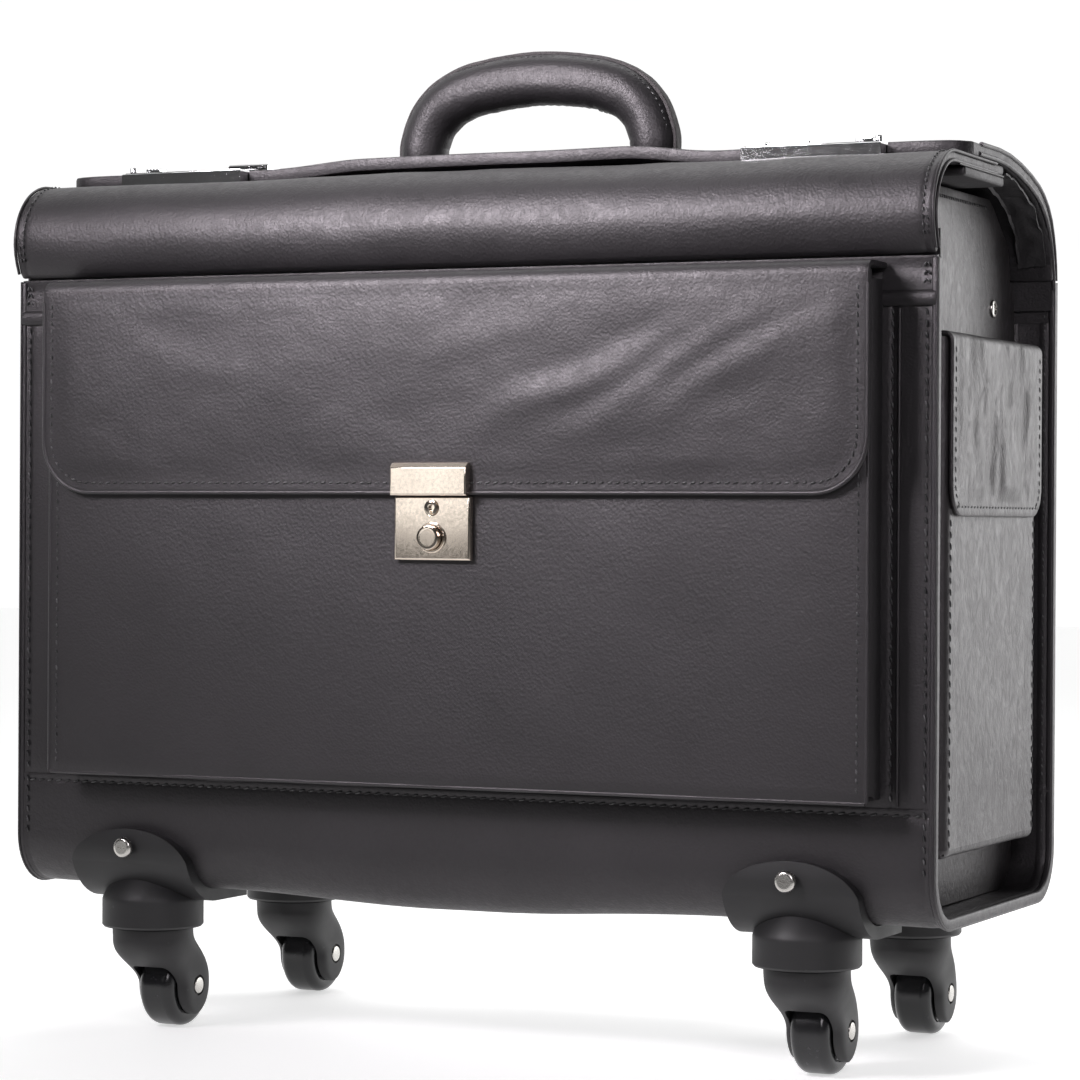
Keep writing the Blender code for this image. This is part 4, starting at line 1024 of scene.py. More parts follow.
def lid_edge(inset, steps=10):
    """The pocket flap's outline from its top left corner, down, round and up again: (x, z)."""
    half = LID_HALF - inset
    low = LID_LOW.z + inset
    turn = LID_ROUND - inset
    high = LID_HIGH.z - 0.010
    line = [(POCKET_X - half, high - (high - low - turn) * k / 6) for k in range(6)]
    line += arc((POCKET_X - half + turn, low + turn), turn, 180, 270, steps)
    line += [(POCKET_X - half + turn + (half - turn) * 2 * k / 12, low) for k in range(1, 12)]
    line += arc((POCKET_X + half - turn, low + turn), turn, 270, 360, steps)
    line += [(POCKET_X + half, low + turn + (high - low - turn) * k / 6) for k in range(1, 7)]
    return line


def lid_soft(x, z):
    """How far the pocket flap's leaf stands out at a place: soft creases running up to the right."""
    v = (z - LID_LOW.z) / (LID_HIGH.z - LID_LOW.z)
    edge = ramp(min(LID_HALF - abs(x - POCKET_X), z - LID_LOW.z), 0.004, 0.016)
    full = 0.0012 * math.sin(math.pi * min(1, max(0, v)))
    drift = 0.010 * noise.noise(Vector((x / 0.06, z / 0.06, 1.0)))
    ridge = 0.0
    for start_x, start_z, slope, width, height in (
        (0.055, 0.303, 0.42, 0.0070, 0.0007), (0.085, 0.296, 0.55, 0.0060, 0.0006),
        (0.130, 0.304, 0.36, 0.0065, 0.0006), (0.020, 0.324, 0.30, 0.0080, 0.0004),
        (-0.150, 0.324, -0.25, 0.0085, 0.0004),
    ):
        far = (z - start_z - (x - start_x) * slope + drift) / math.hypot(1, slope)
        reach = bump_at(x - start_x - 0.020, 0.040)
        ridge += height * bump_at(far, width) * reach
        ridge -= 0.6 * height * bump_at(far - width * 1.7, width * 0.8) * reach
    wide = 0.0008 * noise.noise(Vector((x / 0.05, z / 0.035, 6.0)))
    small = 0.00022 * noise.noise(Vector((x / 0.012, z / 0.012, 2.0)))
    return edge * (full + ridge + wide + small)


def make_pocket_flap():
    """Lid and hanging leaf in one skin, with rounded lower corners, piping and a stitched edge."""
    fold = 0.006
    back = -HALF_Y - 0.0006
    path = [(LID_FRONT, LID_LOW.z + 0.0023 * k) for k in range(41)]
    path = [p for p in path if p[1] < LID_HIGH.z - fold - 0.001]
    path += arc((LID_FRONT + fold, LID_HIGH.z - fold), fold, 180, 90, 6)
    path += [(LID_FRONT + fold + (back - LID_FRONT - fold) * k / 5, LID_HIGH.z) for k in range(1, 6)]
    skin = bent_sheet(
        "pocket_flap_skin", path, POCKET_X - LID_HALF, POCKET_X + LID_HALF, 150
    )

    def lie(co, normal):
        over = abs(co.x - POCKET_X) - (LID_HALF - LID_ROUND)
        up = 0.0
        if over > 0 and co.z < LID_LOW.z + 0.080:
            rise = LID_ROUND - math.sqrt(max(0.0, LID_ROUND ** 2 - min(over, LID_ROUND) ** 2))
            up = rise * ramp(LID_LOW.z + 0.080 - co.z, 0, 0.080)
        out = lid_soft(co.x, co.z) * ramp(LID_HIGH.z - 0.006 - co.z, 0, 0.010)
        return (0, -out, up)

    shape(skin, lie)
    thicken(skin, 0.0026, 0.0009)
    fit(skin, "pocket_flap", LEATHER, "front_pocket_flap")
    outer = [(x, LID_FRONT + 0.0006, z) for x, z in lid_edge(0.0004)]
    bead = cord_line("outer bead", at_y(outer), 0.00105, sides=3)
    inner = [(x, LID_FRONT + 0.0022, z) for x, z in lid_edge(0.0006)]
    second = cord_line("inner bead", at_y(inner), 0.00095, sides=3)
    fit(join("pocket_flap_piping", bead, second), "pocket_flap", LEATHER_EDGE)
    line = at_y([(x, LID_FRONT - lid_soft(x, z), z) for x, z in lid_edge(0.0048)])
    fit(stitches("pocket_flap_stitching", line, (0, -1, 0), 0.0040, lift=0.0001), "pocket_flap", THREAD)


# ------------------------------------------------------------------ push lock
def make_push_lock():
    low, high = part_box("lock_strike_plate")
    plate = cube("strike_plate", low, high)
    edit(plate)
    choose(plate, "EDGE", lambda at, way: at.y < low.y + 1e-5 and at.z > high.z - 1e-5)
    bpy.ops.mesh.bevel(offset=0.0024, segments=1)
    choose(plate, "EDGE", lambda at, way: at.y < low.y + 1e-5 and at.z < high.z - 0.003)
    bpy.ops.mesh.bevel(offset=0.0006, segments=1)
    leave()
    use(plate, "BEVEL", width=0.00025, segments=2, limit_method="ANGLE",
        angle_limit=math.radians(20))
    smooth(plate, 20)
    fit(plate, "pocket_flap", NICKEL, "lock_strike_plate")

    low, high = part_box("lock_body")
    body = cube("lock_body_plate", low, high)
    edit(body)
    choose(body, "EDGE", lambda at, way: at.y < low.y + 1e-5)
    bpy.ops.mesh.bevel(offset=0.0008, segments=1)
    leave()
    button_low, button_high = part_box("lock_button")
    button = (button_low + button_high) / 2
    barrel_low, barrel_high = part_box("lock_key_barrel")
    barrel = (barrel_low + barrel_high) / 2
    radius = (button_high.x - button_low.x) / 2
    small = (barrel_high.x - barrel_low.x) / 2
    face = low.y
    collar = rod("collar", (button.x, face, button.z), "Y", -0.0006, 0.001, radius + 0.0013, 64, 0.0003)
    cut_with(body, collar, operation="UNION")
    cut_with(
        body,
        rod("bore", (button.x, face, button.z), "Y", -0.01, 0.0026, radius + 0.0003, 64),
        rod("bore", (barrel.x, face, barrel.z), "Y", -0.01, 0.0026, small + 0.0002, 48),
    )
    use(body, "BEVEL", width=0.0002, segments=2, limit_method="ANGLE",
        angle_limit=math.radians(30))
    smooth(body, 20)
    fit(body, "case", NICKEL, "lock_body")

    knob = rod(
        "push_button", (button.x, 0, button.z), "Y", button_low.y, button_high.y, radius, 64, 0.0006, 3
    )
    edit(knob)
    choose(knob, "FACE", lambda at, way: at.y < button_low.y + 1e-5 and way.y < -0.99)
    bpy.ops.mesh.inset(thickness=0.0009, depth=0.0)
    bpy.ops.mesh.inset(thickness=0.0002, depth=-0.0002)
    leave()
    smooth(knob, 25)
    fit(knob, "lock_button", NICKEL, "lock_button")

    core = rod(
        "key_core", (barrel.x, 0, barrel.z), "Y", barrel_low.y, barrel_high.y, small, 48, 0.0003
    )
    hub = rod("hub", (barrel.x, 0, barrel.z), "Y", barrel_low.y - 0.01, barrel_low.y + 0.0016, 0.0015, 32)
    slot = cube(
        "slot", (barrel.x - 0.0004, barrel_low.y - 0.01, barrel.z - 0.0030),
        (barrel.x + 0.0004, barrel_low.y + 0.0016, barrel.z)
    )
    cut_with(core, hub, slot)
    smooth(core, 25)
    fit(core, "lock_key_barrel", NICKEL, "lock_key_barrel")


# ------------------------------------------------------------------ ends and side pockets
SIDE_LOW, SIDE_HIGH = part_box("side_pocket_right")
SIDE_LID_LOW, SIDE_LID_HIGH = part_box("side_pocket_flap_right")


def end_outline(inset):
    """The end panel's outline in (y, z), from the case's middle, anticlockwise."""
    reach = HALF_Y - BOARD - GAP - inset
    floor = UNDERSIDE + BOARD + GAP + inset
    corner = CORNER - BOARD - GAP
    swing = HINGE_Z - 0.012
    top = END_HIGH.z - inset
    line = arc((-reach + corner, floor + corner), corner, 180, 270, 6)
    line += arc((reach - corner, floor + corner), corner, 270, 360, 6)
    line += [(reach, swing), (reach - 0.007, HINGE_Z), (reach - 0.010, HINGE_Z + 0.016)]
    line += [(0.0505, top - 0.003), (0.0445, top), (-reach + FLAP_CURVE, top)]
    line += [(-reach + 0.014, top - 0.008), (-reach + 0.004, HINGE_Z + 0.014)]
    line += [(-reach + 0.002, HINGE_Z), (-reach, swing)]
    return line


def plate_from(name, outline, low, high, edge):
    """A board cut to an outline in (y, z), from low to high along X."""
    clear_selection()
    bpy.ops.mesh.primitive_circle_add(vertices=len(outline), radius=1, fill_type="NGON")
    piece = bpy.context.active_object
    piece.name = name
    settle(piece)
    for vertex, (y, z) in zip(piece.data.vertices, outline):
        vertex.co = (low, y + CASE_Y, z)
    edit(piece)
    bpy.ops.mesh.select_all(action="SELECT")
    bpy.ops.mesh.extrude_region_move(TRANSFORM_OT_translate={"value": (high - low, 0, 0)})
    bpy.ops.mesh.select_all(action="SELECT")
    bpy.ops.mesh.normals_make_consistent(inside=False)
    leave()
    if edge:
        use(piece, "BEVEL", width=edge, segments=2, limit_method="ANGLE",
            angle_limit=math.radians(50))
    smooth(piece, 40)
    return piece


def side_stitch_lines():
    """Stitch rows on the right end, as (points, way out)."""
    x = SIDE_HIGH.x
    low, high = SIDE_LOW.y + 0.0045, SIDE_HIGH.y - 0.0045
    foot, top = SIDE_LOW.z + 0.004, SIDE_HIGH.z - 0.004
    rows = [([(x, y, foot), (x, y, top)], (1, 0, 0)) for y in (low, high)]
    y = CASE_Y + HALF_Y - BOARD - 0.0001
    inner = HALF_X - 0.0052
    rows.append(([(inner, y, 0.100), (inner, y, 0.352)], (0, -1, 0), 0.0034))
    x = END_HIGH.x
    z = END_HIGH.z - 0.0045
    rows.append(([(x, CASE_Y - 0.050, z), (x, CASE_Y + 0.040, z)], (1, 0, 0), 0.0026, 78))
    return rows


def make_end(word, side):
    """End panel, its eyelet, and the slim pocket with its own flap."""
    node = f"end_panel_{word}"
    board = plate_from("end_board", end_outline(0), END_LOW.x, END_HIGH.x, 0.0008)
    if side < 0:
        board.data.transform(Matrix.Scale(-1, 4, (1, 0, 0)))
        board.data.flip_normals()
    board.name = f"end_cover_{word}"
    fit(board, "case", LEATHER_SIDE, node)

    eye = rod("eyelet", (END_HIGH.x, CASE_Y + 0.050, 0.349), "X", -0.001, 0.0012, 0.0042, 40, 0.0007, 3)
    cut_with(eye, rod("bore", (END_HIGH.x, CASE_Y + 0.050, 0.349), "X", -0.01, 0.01, 0.0024, 32))
    smooth(eye, 30)
    rivet = rod("rivet", (END_HIGH.x, CASE_Y + 0.050, 0.349), "X", -0.001, 0.0009, 0.0020, 32, 0.0006, 3)
    metal = join(f"end_eyelet_{word}", eye, rivet)

    half = (SIDE_HIGH.y - SIDE_LOW.y) / 2
    middle_y = (SIDE_HIGH.y + SIDE_LOW.y) / 2
    pocket = cube(
        f"side_pocket_body_{word}", (SIDE_LOW.x, SIDE_LOW.y, SIDE_LOW.z),
        (SIDE_HIGH.x, SIDE_HIGH.y, SIDE_HIGH.z)
    )
    edit(pocket)
    choose(pocket, "EDGE", lambda at, way: abs(way.z) > 0.9 and at.x > SIDE_LOW.x + 0.001)
    bpy.ops.mesh.bevel(offset=0.0045, segments=5)
    choose(pocket, "EDGE", lambda at, way: at.z < SIDE_LOW.z + 1e-5 and at.x > SIDE_LOW.x + 0.006)
    bpy.ops.mesh.bevel(offset=0.0040, segments=4)
    leave()
    inner = cube(
        "room", (SIDE_LOW.x + 0.0015, SIDE_LOW.y + 0.0015, SIDE_LOW.z + 0.0015),
        (SIDE_HIGH.x - 0.0015, SIDE_HIGH.y - 0.0015, SIDE_HIGH.z + 0.01)
    )
    cut_with(pocket, inner)
    for z in [SIDE_LOW.z + 0.006 * k for k in range(1, 38)]:
        edit(pocket)
        bpy.ops.mesh.select_all(action="SELECT")
        bpy.ops.mesh.bisect(plane_co=(0, 0, z), plane_no=(0, 0, 1))
        leave()
    for y in [SIDE_LOW.y + 0.0066 * k for k in range(1, 20)]:
        edit(pocket)
        bpy.ops.mesh.select_all(action="SELECT")
        bpy.ops.mesh.bisect(plane_co=(0, y, 0), plane_no=(0, 1, 0))
        leave()

    def slack(co, normal):
        outer = ramp(co.x, SIDE_LOW.x + 0.006, SIDE_HIGH.x - 0.001)
        inside = ramp(half - abs(co.y - middle_y), 0.004, 0.02)
        fold = noise.noise(Vector((co.y / 0.011, co.z / 0.12, 4.0 + side)))
        near_back = ramp(co.y, middle_y + 0.02, middle_y + half - 0.008)
        soft = 0.0006 * ripple(co, 0.04, 13.0) * inside
        out = outer * (soft + 0.0007 * fold * near_back * inside)
        out -= outer * 0.0030 * ramp(SIDE_LOW.z + 0.05 - co.z, 0, 0.05) * inside * 0.4
        return (out, 0, 0)

    shape(pocket, slack)
    smooth(pocket, 40)

    top = SIDE_LID_HIGH.z
    skin = SIDE_LID_HIGH.x
    steps = 26
    drop = top - 0.0045 - SIDE_LID_LOW.z
    path = [(skin, SIDE_LID_LOW.z + drop * k / steps) for k in range(steps + 1)]
    path += arc((skin - 0.0045, top - 0.0045), 0.0045, 0, 90, 6)[1:]
    path += [(skin - 0.0045 - (skin - 0.0045 - SIDE_LID_LOW.x) * k / 5, top) for k in range(1, 6)]
    lid_half = (SIDE_LID_HIGH.y - SIDE_LID_LOW.y) / 2
    flap = bent_sheet(
        f"side_pocket_lid_{word}", [(-x, z) for x, z in path], -lid_half, lid_half, 60
    )
    turn = Matrix(((0, -1, 0, CASE_Y), (1, 0, 0, middle_y), (0, 0, 1, 0), (0, 0, 0, 1)))
    flap.data.transform(turn)
    round_off = 0.014

    def hang(co, normal):
        over = abs(co.y - middle_y) - (lid_half - round_off)
        up = 0.0
        if over > 0:
            rise = round_off - math.sqrt(max(0.0, round_off ** 2 - min(over, round_off) ** 2))
            up = rise * ramp(SIDE_LID_LOW.z + 0.05 - co.z, 0, 0.05)
        face = ramp(co.x, skin - 0.003, skin)
        fold = noise.noise(Vector((co.y / 0.016, co.z / 0.07, 7.0 + side)))
        fold += 0.4 * noise.noise(Vector((co.y / 0.007, co.z / 0.03, 2.0)))
        free = ramp(lid_half - abs(co.y - middle_y), 0.0065, 0.018)
        free *= ramp(co.z - SIDE_LID_LOW.z, 0.0065, 0.014)
        return (0.0009 * face * free + 0.0025 * fold * face * free, 0, up)

    shape(flap, hang)
    use(flap, "SOLIDIFY", thickness=0.0020, offset=-1.0, use_even_offset=True)
    use(flap, "BEVEL", width=0.0008, segments=2, limit_method="ANGLE",
        angle_limit=math.radians(50))
    smooth(flap, 45)
    half_in = lid_half - 0.0042
    turn_in = round_off - 0.0042
    low_z = SIDE_LID_LOW.z + 0.0042
    edge = [(middle_y - half_in, top - 0.006), (middle_y - half_in, low_z + turn_in + 0.03)]
    edge += arc((middle_y - half_in + turn_in, low_z + turn_in), turn_in, 180, 270, 6)
    edge += arc((middle_y + half_in - turn_in, low_z + turn_in), turn_in, 270, 360, 6)
    edge += [(middle_y + half_in, low_z + turn_in + 0.03), (middle_y + half_in, top - 0.006)]
    lid_row = stitches(
        f"side_pocket_lid_stitching_{word}", [(skin - 0.0003, y, z) for y, z in edge], (1, 0, 0),
        0.0044, 14, 0.0002
    )
    rows = [stitches("row", *line) for line in side_stitch_lines()]
    rows = join(f"end_stitching_{word}", *rows)
    for piece, body, material, node in (
        (metal, "case", STEEL, None),
        (pocket, "case", LEATHER_SIDE, f"side_pocket_{word}"),
        (flap, f"side_flap_{word}", LEATHER_SIDE, f"side_pocket_flap_{word}"),
        (lid_row, f"side_flap_{word}", THREAD, None),
        (rows, "case", THREAD, None),
    ):
        if side < 0:
            piece.data.transform(Matrix.Scale(-1, 4, (1, 0, 0)))
            piece.data.flip_normals()
        if node:
            fit(piece, body, material, node)
        else:
            fit(piece, body, material)


# ------------------------------------------------------------------ carry handle
def make_carry_handle():
    """A padded arch of turned cover, with a stitched welt along its inner bend."""
    low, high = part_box("carry_handle")
    radius = 0.0116
    middle_x = (low.x + high.x) / 2
    middle_y = (low.y + high.y) / 2
    half = (high.x - low.x) / 2 - 0.0118
    bend = 0.034
    top = high.z - 0.0118
    foot = low.z + 0.0012
    knee = top - bend
    rise = [(0, foot), (0, foot + 0.010), (0.0006, 0.4330), (0.0052, 0.4440), (0.0150, 0.4532)]
    rise += [(0.0320, 0.4592), (half, top + 0.0004)]
    points = [(x - half, z) for x, z in rise] + [(half - x, z) for x, z in reversed(rise[:-1])]
    path = spaced([(middle_x + x, middle_y, z) for x, z in points], 0.0022)
    arch = cord_line("carry_handle_pad", path, radius, sides=9)

    def way_in(co):
        """Unit direction from the handle's line to the middle of its opening, in X and Z."""
        inner = half - bend
        pull = min(inner, max(-inner, co.x - middle_x))
        if co.z < knee:
            return Vector((-1 if co.x > middle_x else 1, 0, 0))
        return Vector((middle_x + pull - co.x, 0, knee - co.z)).normalized()

    def pad(co, normal):
        inward = way_in(co)
        toward = normal.dot(inward)
        middle = ramp(0.056 - abs(co.x - middle_x), 0, 0.034)
        belly = 0.0060 * middle * max(0.0, toward)
        waist = -0.0006 * ramp(knee - co.z, 0, 0.01)
        ridge = -0.0007 * bump_at(toward + 0.86, 0.05)
        wrinkle = noise.noise(Vector((co.x / 0.006, co.y / 0.012, co.z / 0.006)))
        inside = ramp(toward, -0.2, 0.8) * ramp(co.z, knee - 0.02, knee + 0.005)
        soft = 0.0004 * ripple(co, 0.02, 15.0) + 0.0004 * wrinkle * inside
        neck = -0.0010 * ramp(foot + 0.010 - co.z, 0, 0.010)
        return normal * (belly + waist + ridge + soft + neck)

    shape(arch, pad)
    smooth(arch, 60)
    fit(arch, "rear_flap", LEATHER, "carry_handle")
    rows = []
    for side in (-1, 1):
        line = []
        for spot in path[6:-6]:
            inward = way_in(spot)
            out = (inward * -0.84 + Vector((0, side, 0)) * 0.54).normalized()
            line.append(spot + out * (radius - 0.0004))

        def outward(place, side=side):
            return way_in(place) * -0.84 + Vector((0, side, 0)) * 0.54

        rows.append(stitches("row", line, outward, 0.0034))
    fit(join("carry_handle_stitching", *rows), "rear_flap", THREAD)
    crown = [spot - way_in(spot) * (radius + 0.0007) for spot in path[2:-2]]
    welt = bent_sheet(
        "carry_handle_welt", [(-p.x, p.z) for p in reversed(crown)], -0.0036, 0.0036, 4
    )
    turn = Matrix(((0, -1, 0, CASE_Y), (1, 0, 0, middle_y), (0, 0, 1, 0), (0, 0, 0, 1)))
    welt.data.transform(turn)
    shape(welt, lambda co, normal: normal * 0.0002 * ripple(co, 0.006, 3.0))
    thicken(welt, 0.0022, 0.0007)
    fit(welt, "rear_flap", RAW_EDGE)
    feet = []
    for side in (-1, 1):
        feet.append(rod(
            "foot", (middle_x + side * half, middle_y, 0), "Z", low.z - 0.0010, low.z + 0.0042,
            radius + 0.0016, 48, 0.0014, 3
        ))
    fit(join("carry_handle_feet", *feet), "rear_flap", LEATHER_EDGE)


# ------------------------------------------------------------------ combination latches
def make_latch(word, side):
    low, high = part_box(f"latch_body_{word}")
    centre = (low.x + high.x) / 2
    body = cube("latch", low, high)
    edit(body)
    choose(body, "EDGE", lambda at, way: at.z > high.z - 1e-5)
    bpy.ops.mesh.bevel(offset=0.0008, segments=3)
    leave()
    cutters = []
    for number in (1, 2, 3):
        dial_low, dial_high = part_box(f"latch_dial_{word}_{number}")
        grow = Vector((0.0003, 0.0003, 0.0003))
        cutters.append(cube("well", dial_low - grow, dial_high + grow + Vector((0, 0, 0.01)), 0.0004))
    keeper_low, keeper_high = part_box(f"latch_keeper_{word}")
    cutters.append(cube(
        "slot", (keeper_low.x - 0.001, keeper_low.y - 0.0015, low.z - 0.01),
        (keeper_high.x + 0.001, keeper_high.y + 0.0012, keeper_high.z + 0.0006)
    ))
    cut_with(body, *cutters)
    smooth(body, 30)
    frame_strip = cube(
        "latch_step", (low.x + 0.0012, low.y + 0.0012, high.z - 0.0004),
        (high.x - 0.0012, high.y - 0.0030, high.z + 0.0004), 0.0003
    )
    slot_x = [sorted((centre + side * 0.0275, centre + side * 0.0165))]
    for x_low, x_high in slot_x:
        cut_with(frame_strip, cube(
            "slot", (x_low, low.y + 0.0130, high.z - 0.01), (x_high, low.y + 0.0150, high.z + 0.01)
        ))
    wells = []
    for number in (1, 2, 3):
        dial_low, dial_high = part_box(f"latch_dial_{word}_{number}")
        grow = Vector((0.0006, 0.0006, 0.01))
        wells.append(cube("well", dial_low - grow, dial_high + grow))
    cut_with(frame_strip, *wells)
    smooth(frame_strip, 30)
    post = rod(
        "post", (centre + side * 0.0305, low.y + 0.0060, 0), "Z", high.z - 0.001, high.z + 0.0034,
        0.0017, 32, 0.0005
    )
    knuckle = rod(
        "knuckle", (centre - side * 0.0215, high.y - 0.0022, high.z + 0.0012), "X",
        -0.0105, 0.0105, 0.0016, 32, 0.0003
    )
    fit(join(f"latch_plate_{word}", body, frame_strip, post, knuckle), "rear_flap", CHROME,
        f"latch_body_{word}")

    for number in (1, 2, 3):
        name = f"latch_dial_{word}_{number}"
        low_d, high_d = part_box(name)
        spot = (low_d + high_d) / 2
        radius = (high_d.y - low_d.y) / 2
        dial = rod("dial", (0, spot.y, spot.z), "X", low_d.x, high_d.x, radius, 60)
        edit(dial)
        choose(dial, "FACE", lambda at, way: abs(way.x) < 0.5 and round(
            math.degrees(math.atan2(way.z, way.y)) / 6 - 0.5) % 6 == 0)
        bpy.ops.mesh.inset(thickness=0.00002, depth=-0.00028, use_individual=True)
        leave()
        use(dial, "BEVEL", width=0.00018, segments=2, limit_method="ANGLE",
            angle_limit=math.radians(40))
        smooth(dial, 25)
        fit(dial, name, STEEL, name)

    low_s, high_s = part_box(f"latch_slider_{word}")
    knob = cube("slider", low_s, high_s, 0.0006, 3)
    ribs = []
    for k in range(4):
        x = low_s.x + (high_s.x - low_s.x) * (k + 1) / 5
        ribs.append(cube("rib", (x - 0.0004, low_s.y - 0.01, high_s.z - 0.0007),
                         (x + 0.0004, high_s.y + 0.01, high_s.z + 0.01)))
    cut_with(knob, *ribs)
    smooth(knob, 30)
    knob.name = f"latch_slider_knob_{word}"
    fit(knob, f"latch_slider_{word}", CHROME, f"latch_slider_{word}")

    low_l, high_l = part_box(f"latch_lever_{word}")
    lever = cube("lever", low_l, high_l)
    edit(lever)
    choose(lever, "EDGE", lambda at, way: at.z > high_l.z - 1e-5 and at.y > high_l.y - 1e-5)
    bpy.ops.mesh.bevel(offset=0.0034, segments=6)
    choose(lever, "EDGE", lambda at, way: at.z > high_l.z - 1e-5 and at.y < low_l.y + 1e-5)
    bpy.ops.mesh.bevel(offset=0.0022, segments=5)
    leave()
    under = cube(
        "under", (low_l.x + 0.0012, low_l.y - 0.01, low_l.z - 0.01),
        (high_l.x - 0.0012, high_l.y - 0.0040, high_l.z - 0.0016)
    )
    cut_with(lever, under)
    use(lever, "BEVEL", width=0.0003, segments=2, limit_method="ANGLE",
        angle_limit=math.radians(40))
    smooth(lever, 30)
    lever.name = f"latch_hasp_{word}"
    fit(lever, f"latch_lever_{word}", CHROME, f"latch_lever_{word}")

    low_k, high_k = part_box(f"latch_keeper_{word}")
    keeper = cube(f"latch_staple_{word}", low_k, high_k, 0.0004, 2)
    fit(keeper, "front_flap", STEEL, f"latch_keeper_{word}")


# ------------------------------------------------------------------ casters
def caster_case_cut(front):
    """The room the case takes at its lower edge: (y, z) from the case's middle."""
    centre = (HALF_Y - CORNER, UNDERSIDE + CORNER)
    line = [(0, KICK_TOP + 0.02), (0, UNDERSIDE - 0.0004)]
    line += arc(centre, CORNER + 0.0004, -90, 0, 12)
    line += [(HALF_Y + 0.0004, KICK_TOP + 0.02)]
    return [(front * y, z) for y, z in line]


def caster_mount(x, y, wide, low_z, high_z):
    """A front caster's wrap around the lower edge, with its arched top and round collar."""
    centre = (HALF_Y - CORNER, UNDERSIDE + CORNER)
    inner = CORNER + GAP
    outer = inner + 0.0060
    shoulder = 0.080
    line = [(HALF_Y + GAP, high_z), (HALF_Y + 0.0063, high_z)]
    line += arc(centre, outer, 0, -90, 16)
    line += [(HALF_Y - 0.054, UNDERSIDE - 0.0063), (HALF_Y - 0.054, UNDERSIDE - GAP)]
    line += arc(centre, inner, -90, 0, 12)
    line = [(-py, pz) for py, pz in line]
    wrap = plate_from("wrap", line, x - wide, x + wide, 0)
    arch = [(x - wide - 0.0005, 0.04), (x - wide - 0.0005, shoulder)]
    rise = high_z - shoulder
    for k in range(25):
        angle = math.pi * (1 - k / 24)
        arch.append((x + math.cos(angle) * (wide + 0.0005), shoulder + math.sin(angle) * rise))
    arch += [(x + wide + 0.0005, 0.04)]
    mask = plate_from("mask", [(0, 0)] * len(arch), -0.1, 0.1, 0)
    near = [v for v in mask.data.vertices if v.co.x < 0]
    far = [v for v in mask.data.vertices if v.co.x > 0]
    for group, depth in ((near, y - 0.07), (far, y + 0.07)):
        for vertex, (px, pz) in zip(group, arch):
            vertex.co = (px, depth, pz)
    edit(mask)
    bpy.ops.mesh.select_all(action="SELECT")
    bpy.ops.mesh.normals_make_consistent(inside=False)
    leave()
    cut_with(wrap, mask, operation="INTERSECT")
    cut_with(wrap, rod("bore", (x, y, 0), "Z", 0.03, UNDERSIDE - 0.0023, 0.0054, 32))
    for side in (-1, 1):
        well = rod(
            "well", (x + side * 0.0262, y + 0.006, 0), "Z", 0.03, UNDERSIDE - 0.0030, 0.0034, 32
        )
        cut_with(wrap, well)
    use(wrap, "BEVEL", width=0.0010, segments=3, limit_method="ANGLE",
        angle_limit=math.radians(50))
    collar = rod("collar", (x, y, 0), "Z", low_z, 0.0850, 0.0245, 72)
    edit(collar)
    choose(collar, "EDGE", lambda at, way: abs(way.z) > 0.9)
    bpy.ops.mesh.subdivide(number_cuts=32)
    leave()
    for vertex in collar.data.vertices:
        over = max(0.0, vertex.co.z - 0.0640) / 0.0210
        shrink = max(0.10, 1 - 0.80 * over ** 1.45)
        if vertex.co.z < low_z + 1e-5:
            shrink = 0.965
        vertex.co.x = x + (vertex.co.x - x) * shrink
        vertex.co.y = y + (vertex.co.y - y) * shrink
    case_room = plate_from("room", caster_case_cut(-1), x - 0.05, x + 0.05, 0)
    bore = rod("bore", (x, y, 0), "Z", 0.03, UNDERSIDE - 0.0023, 0.0054, 32)
    cut_with(collar, bore, case_room)
    wrap = join("caster_mount", wrap, collar)
    return wrap


def make_caster(word, back):
    """Mount, its fixings, fork and wheel at one corner; back is -1 in front and 1 behind."""
    low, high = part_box(f"caster_bracket_{word}")
    x = (low.x + high.x) / 2
    wheel_low, wheel_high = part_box(f"caster_wheel_{word}")
    y = (wheel_low.y + wheel_high.y) / 2 - CASTER_TRAIL
    front_y = back * (HALF_Y + GAP)
    spot = y if back < 0 else 2 * CASE_Y - y
    wrap = caster_mount(x, spot, (high.x - low.x) / 2, low.z, high.z)
    if back > 0:
        wrap.data.transform(Matrix.Scale(-1, 4, (0, 1, 0)))
        wrap.data.transform(Matrix.Translation((0, 2 * CASE_Y, 0)))
        wrap.data.flip_normals()
    smooth(wrap, 30)
    wrap.name = f"caster_mount_{word}"
    fit(wrap, "case", PLASTIC, f"caster_bracket_{word}")

    screws = []
    for side in (-1, 1):
        head = rod(
            "screw", (x + side * 0.0262, y - back * 0.006, 0), "Z", UNDERSIDE - 0.0048,
            UNDERSIDE - 0.0026, 0.0028, 32, 0.0006
        )
        for along in (True, False):
            reach = (0.0019, 0.0004) if along else (0.0004, 0.0019)
            cross = cube(
                "cross",
                (x + side * 0.0262 - reach[0], y - back * 0.006 - reach[1], UNDERSIDE - 0.01),
                (x + side * 0.0262 + reach[0], y - back * 0.006 + reach[1], UNDERSIDE - 0.0038),
            )
            cut_with(head, cross)
        smooth(head, 30)
        screws.append(head)
    face = front_y + back * 0.0059
    dome = rod("dome", (x, face, 0.0907), "Y", -0.0012, 0.0012, 0.0049, 48)
    edit(dome)
    choose(dome, "EDGE", lambda at, way: (at.y - face) * back > 0.0011)
    bpy.ops.mesh.bevel(offset=0.0017, segments=5)
    leave()
    cross = cube("cross", (x - 0.0018, face - 0.01, 0.0903), (x + 0.0018, face + 0.01, 0.0911))
    cross.data.transform(Matrix.Translation((0, back * 0.0108, 0)))
    cut_with(dome, cross)
    smooth(dome, 30)
    fit(join(f"caster_fixings_{word}", dome, *screws), "case", STEEL)
    make_fork(word, x, y)
    make_wheel(word, x, y + CASTER_TRAIL)


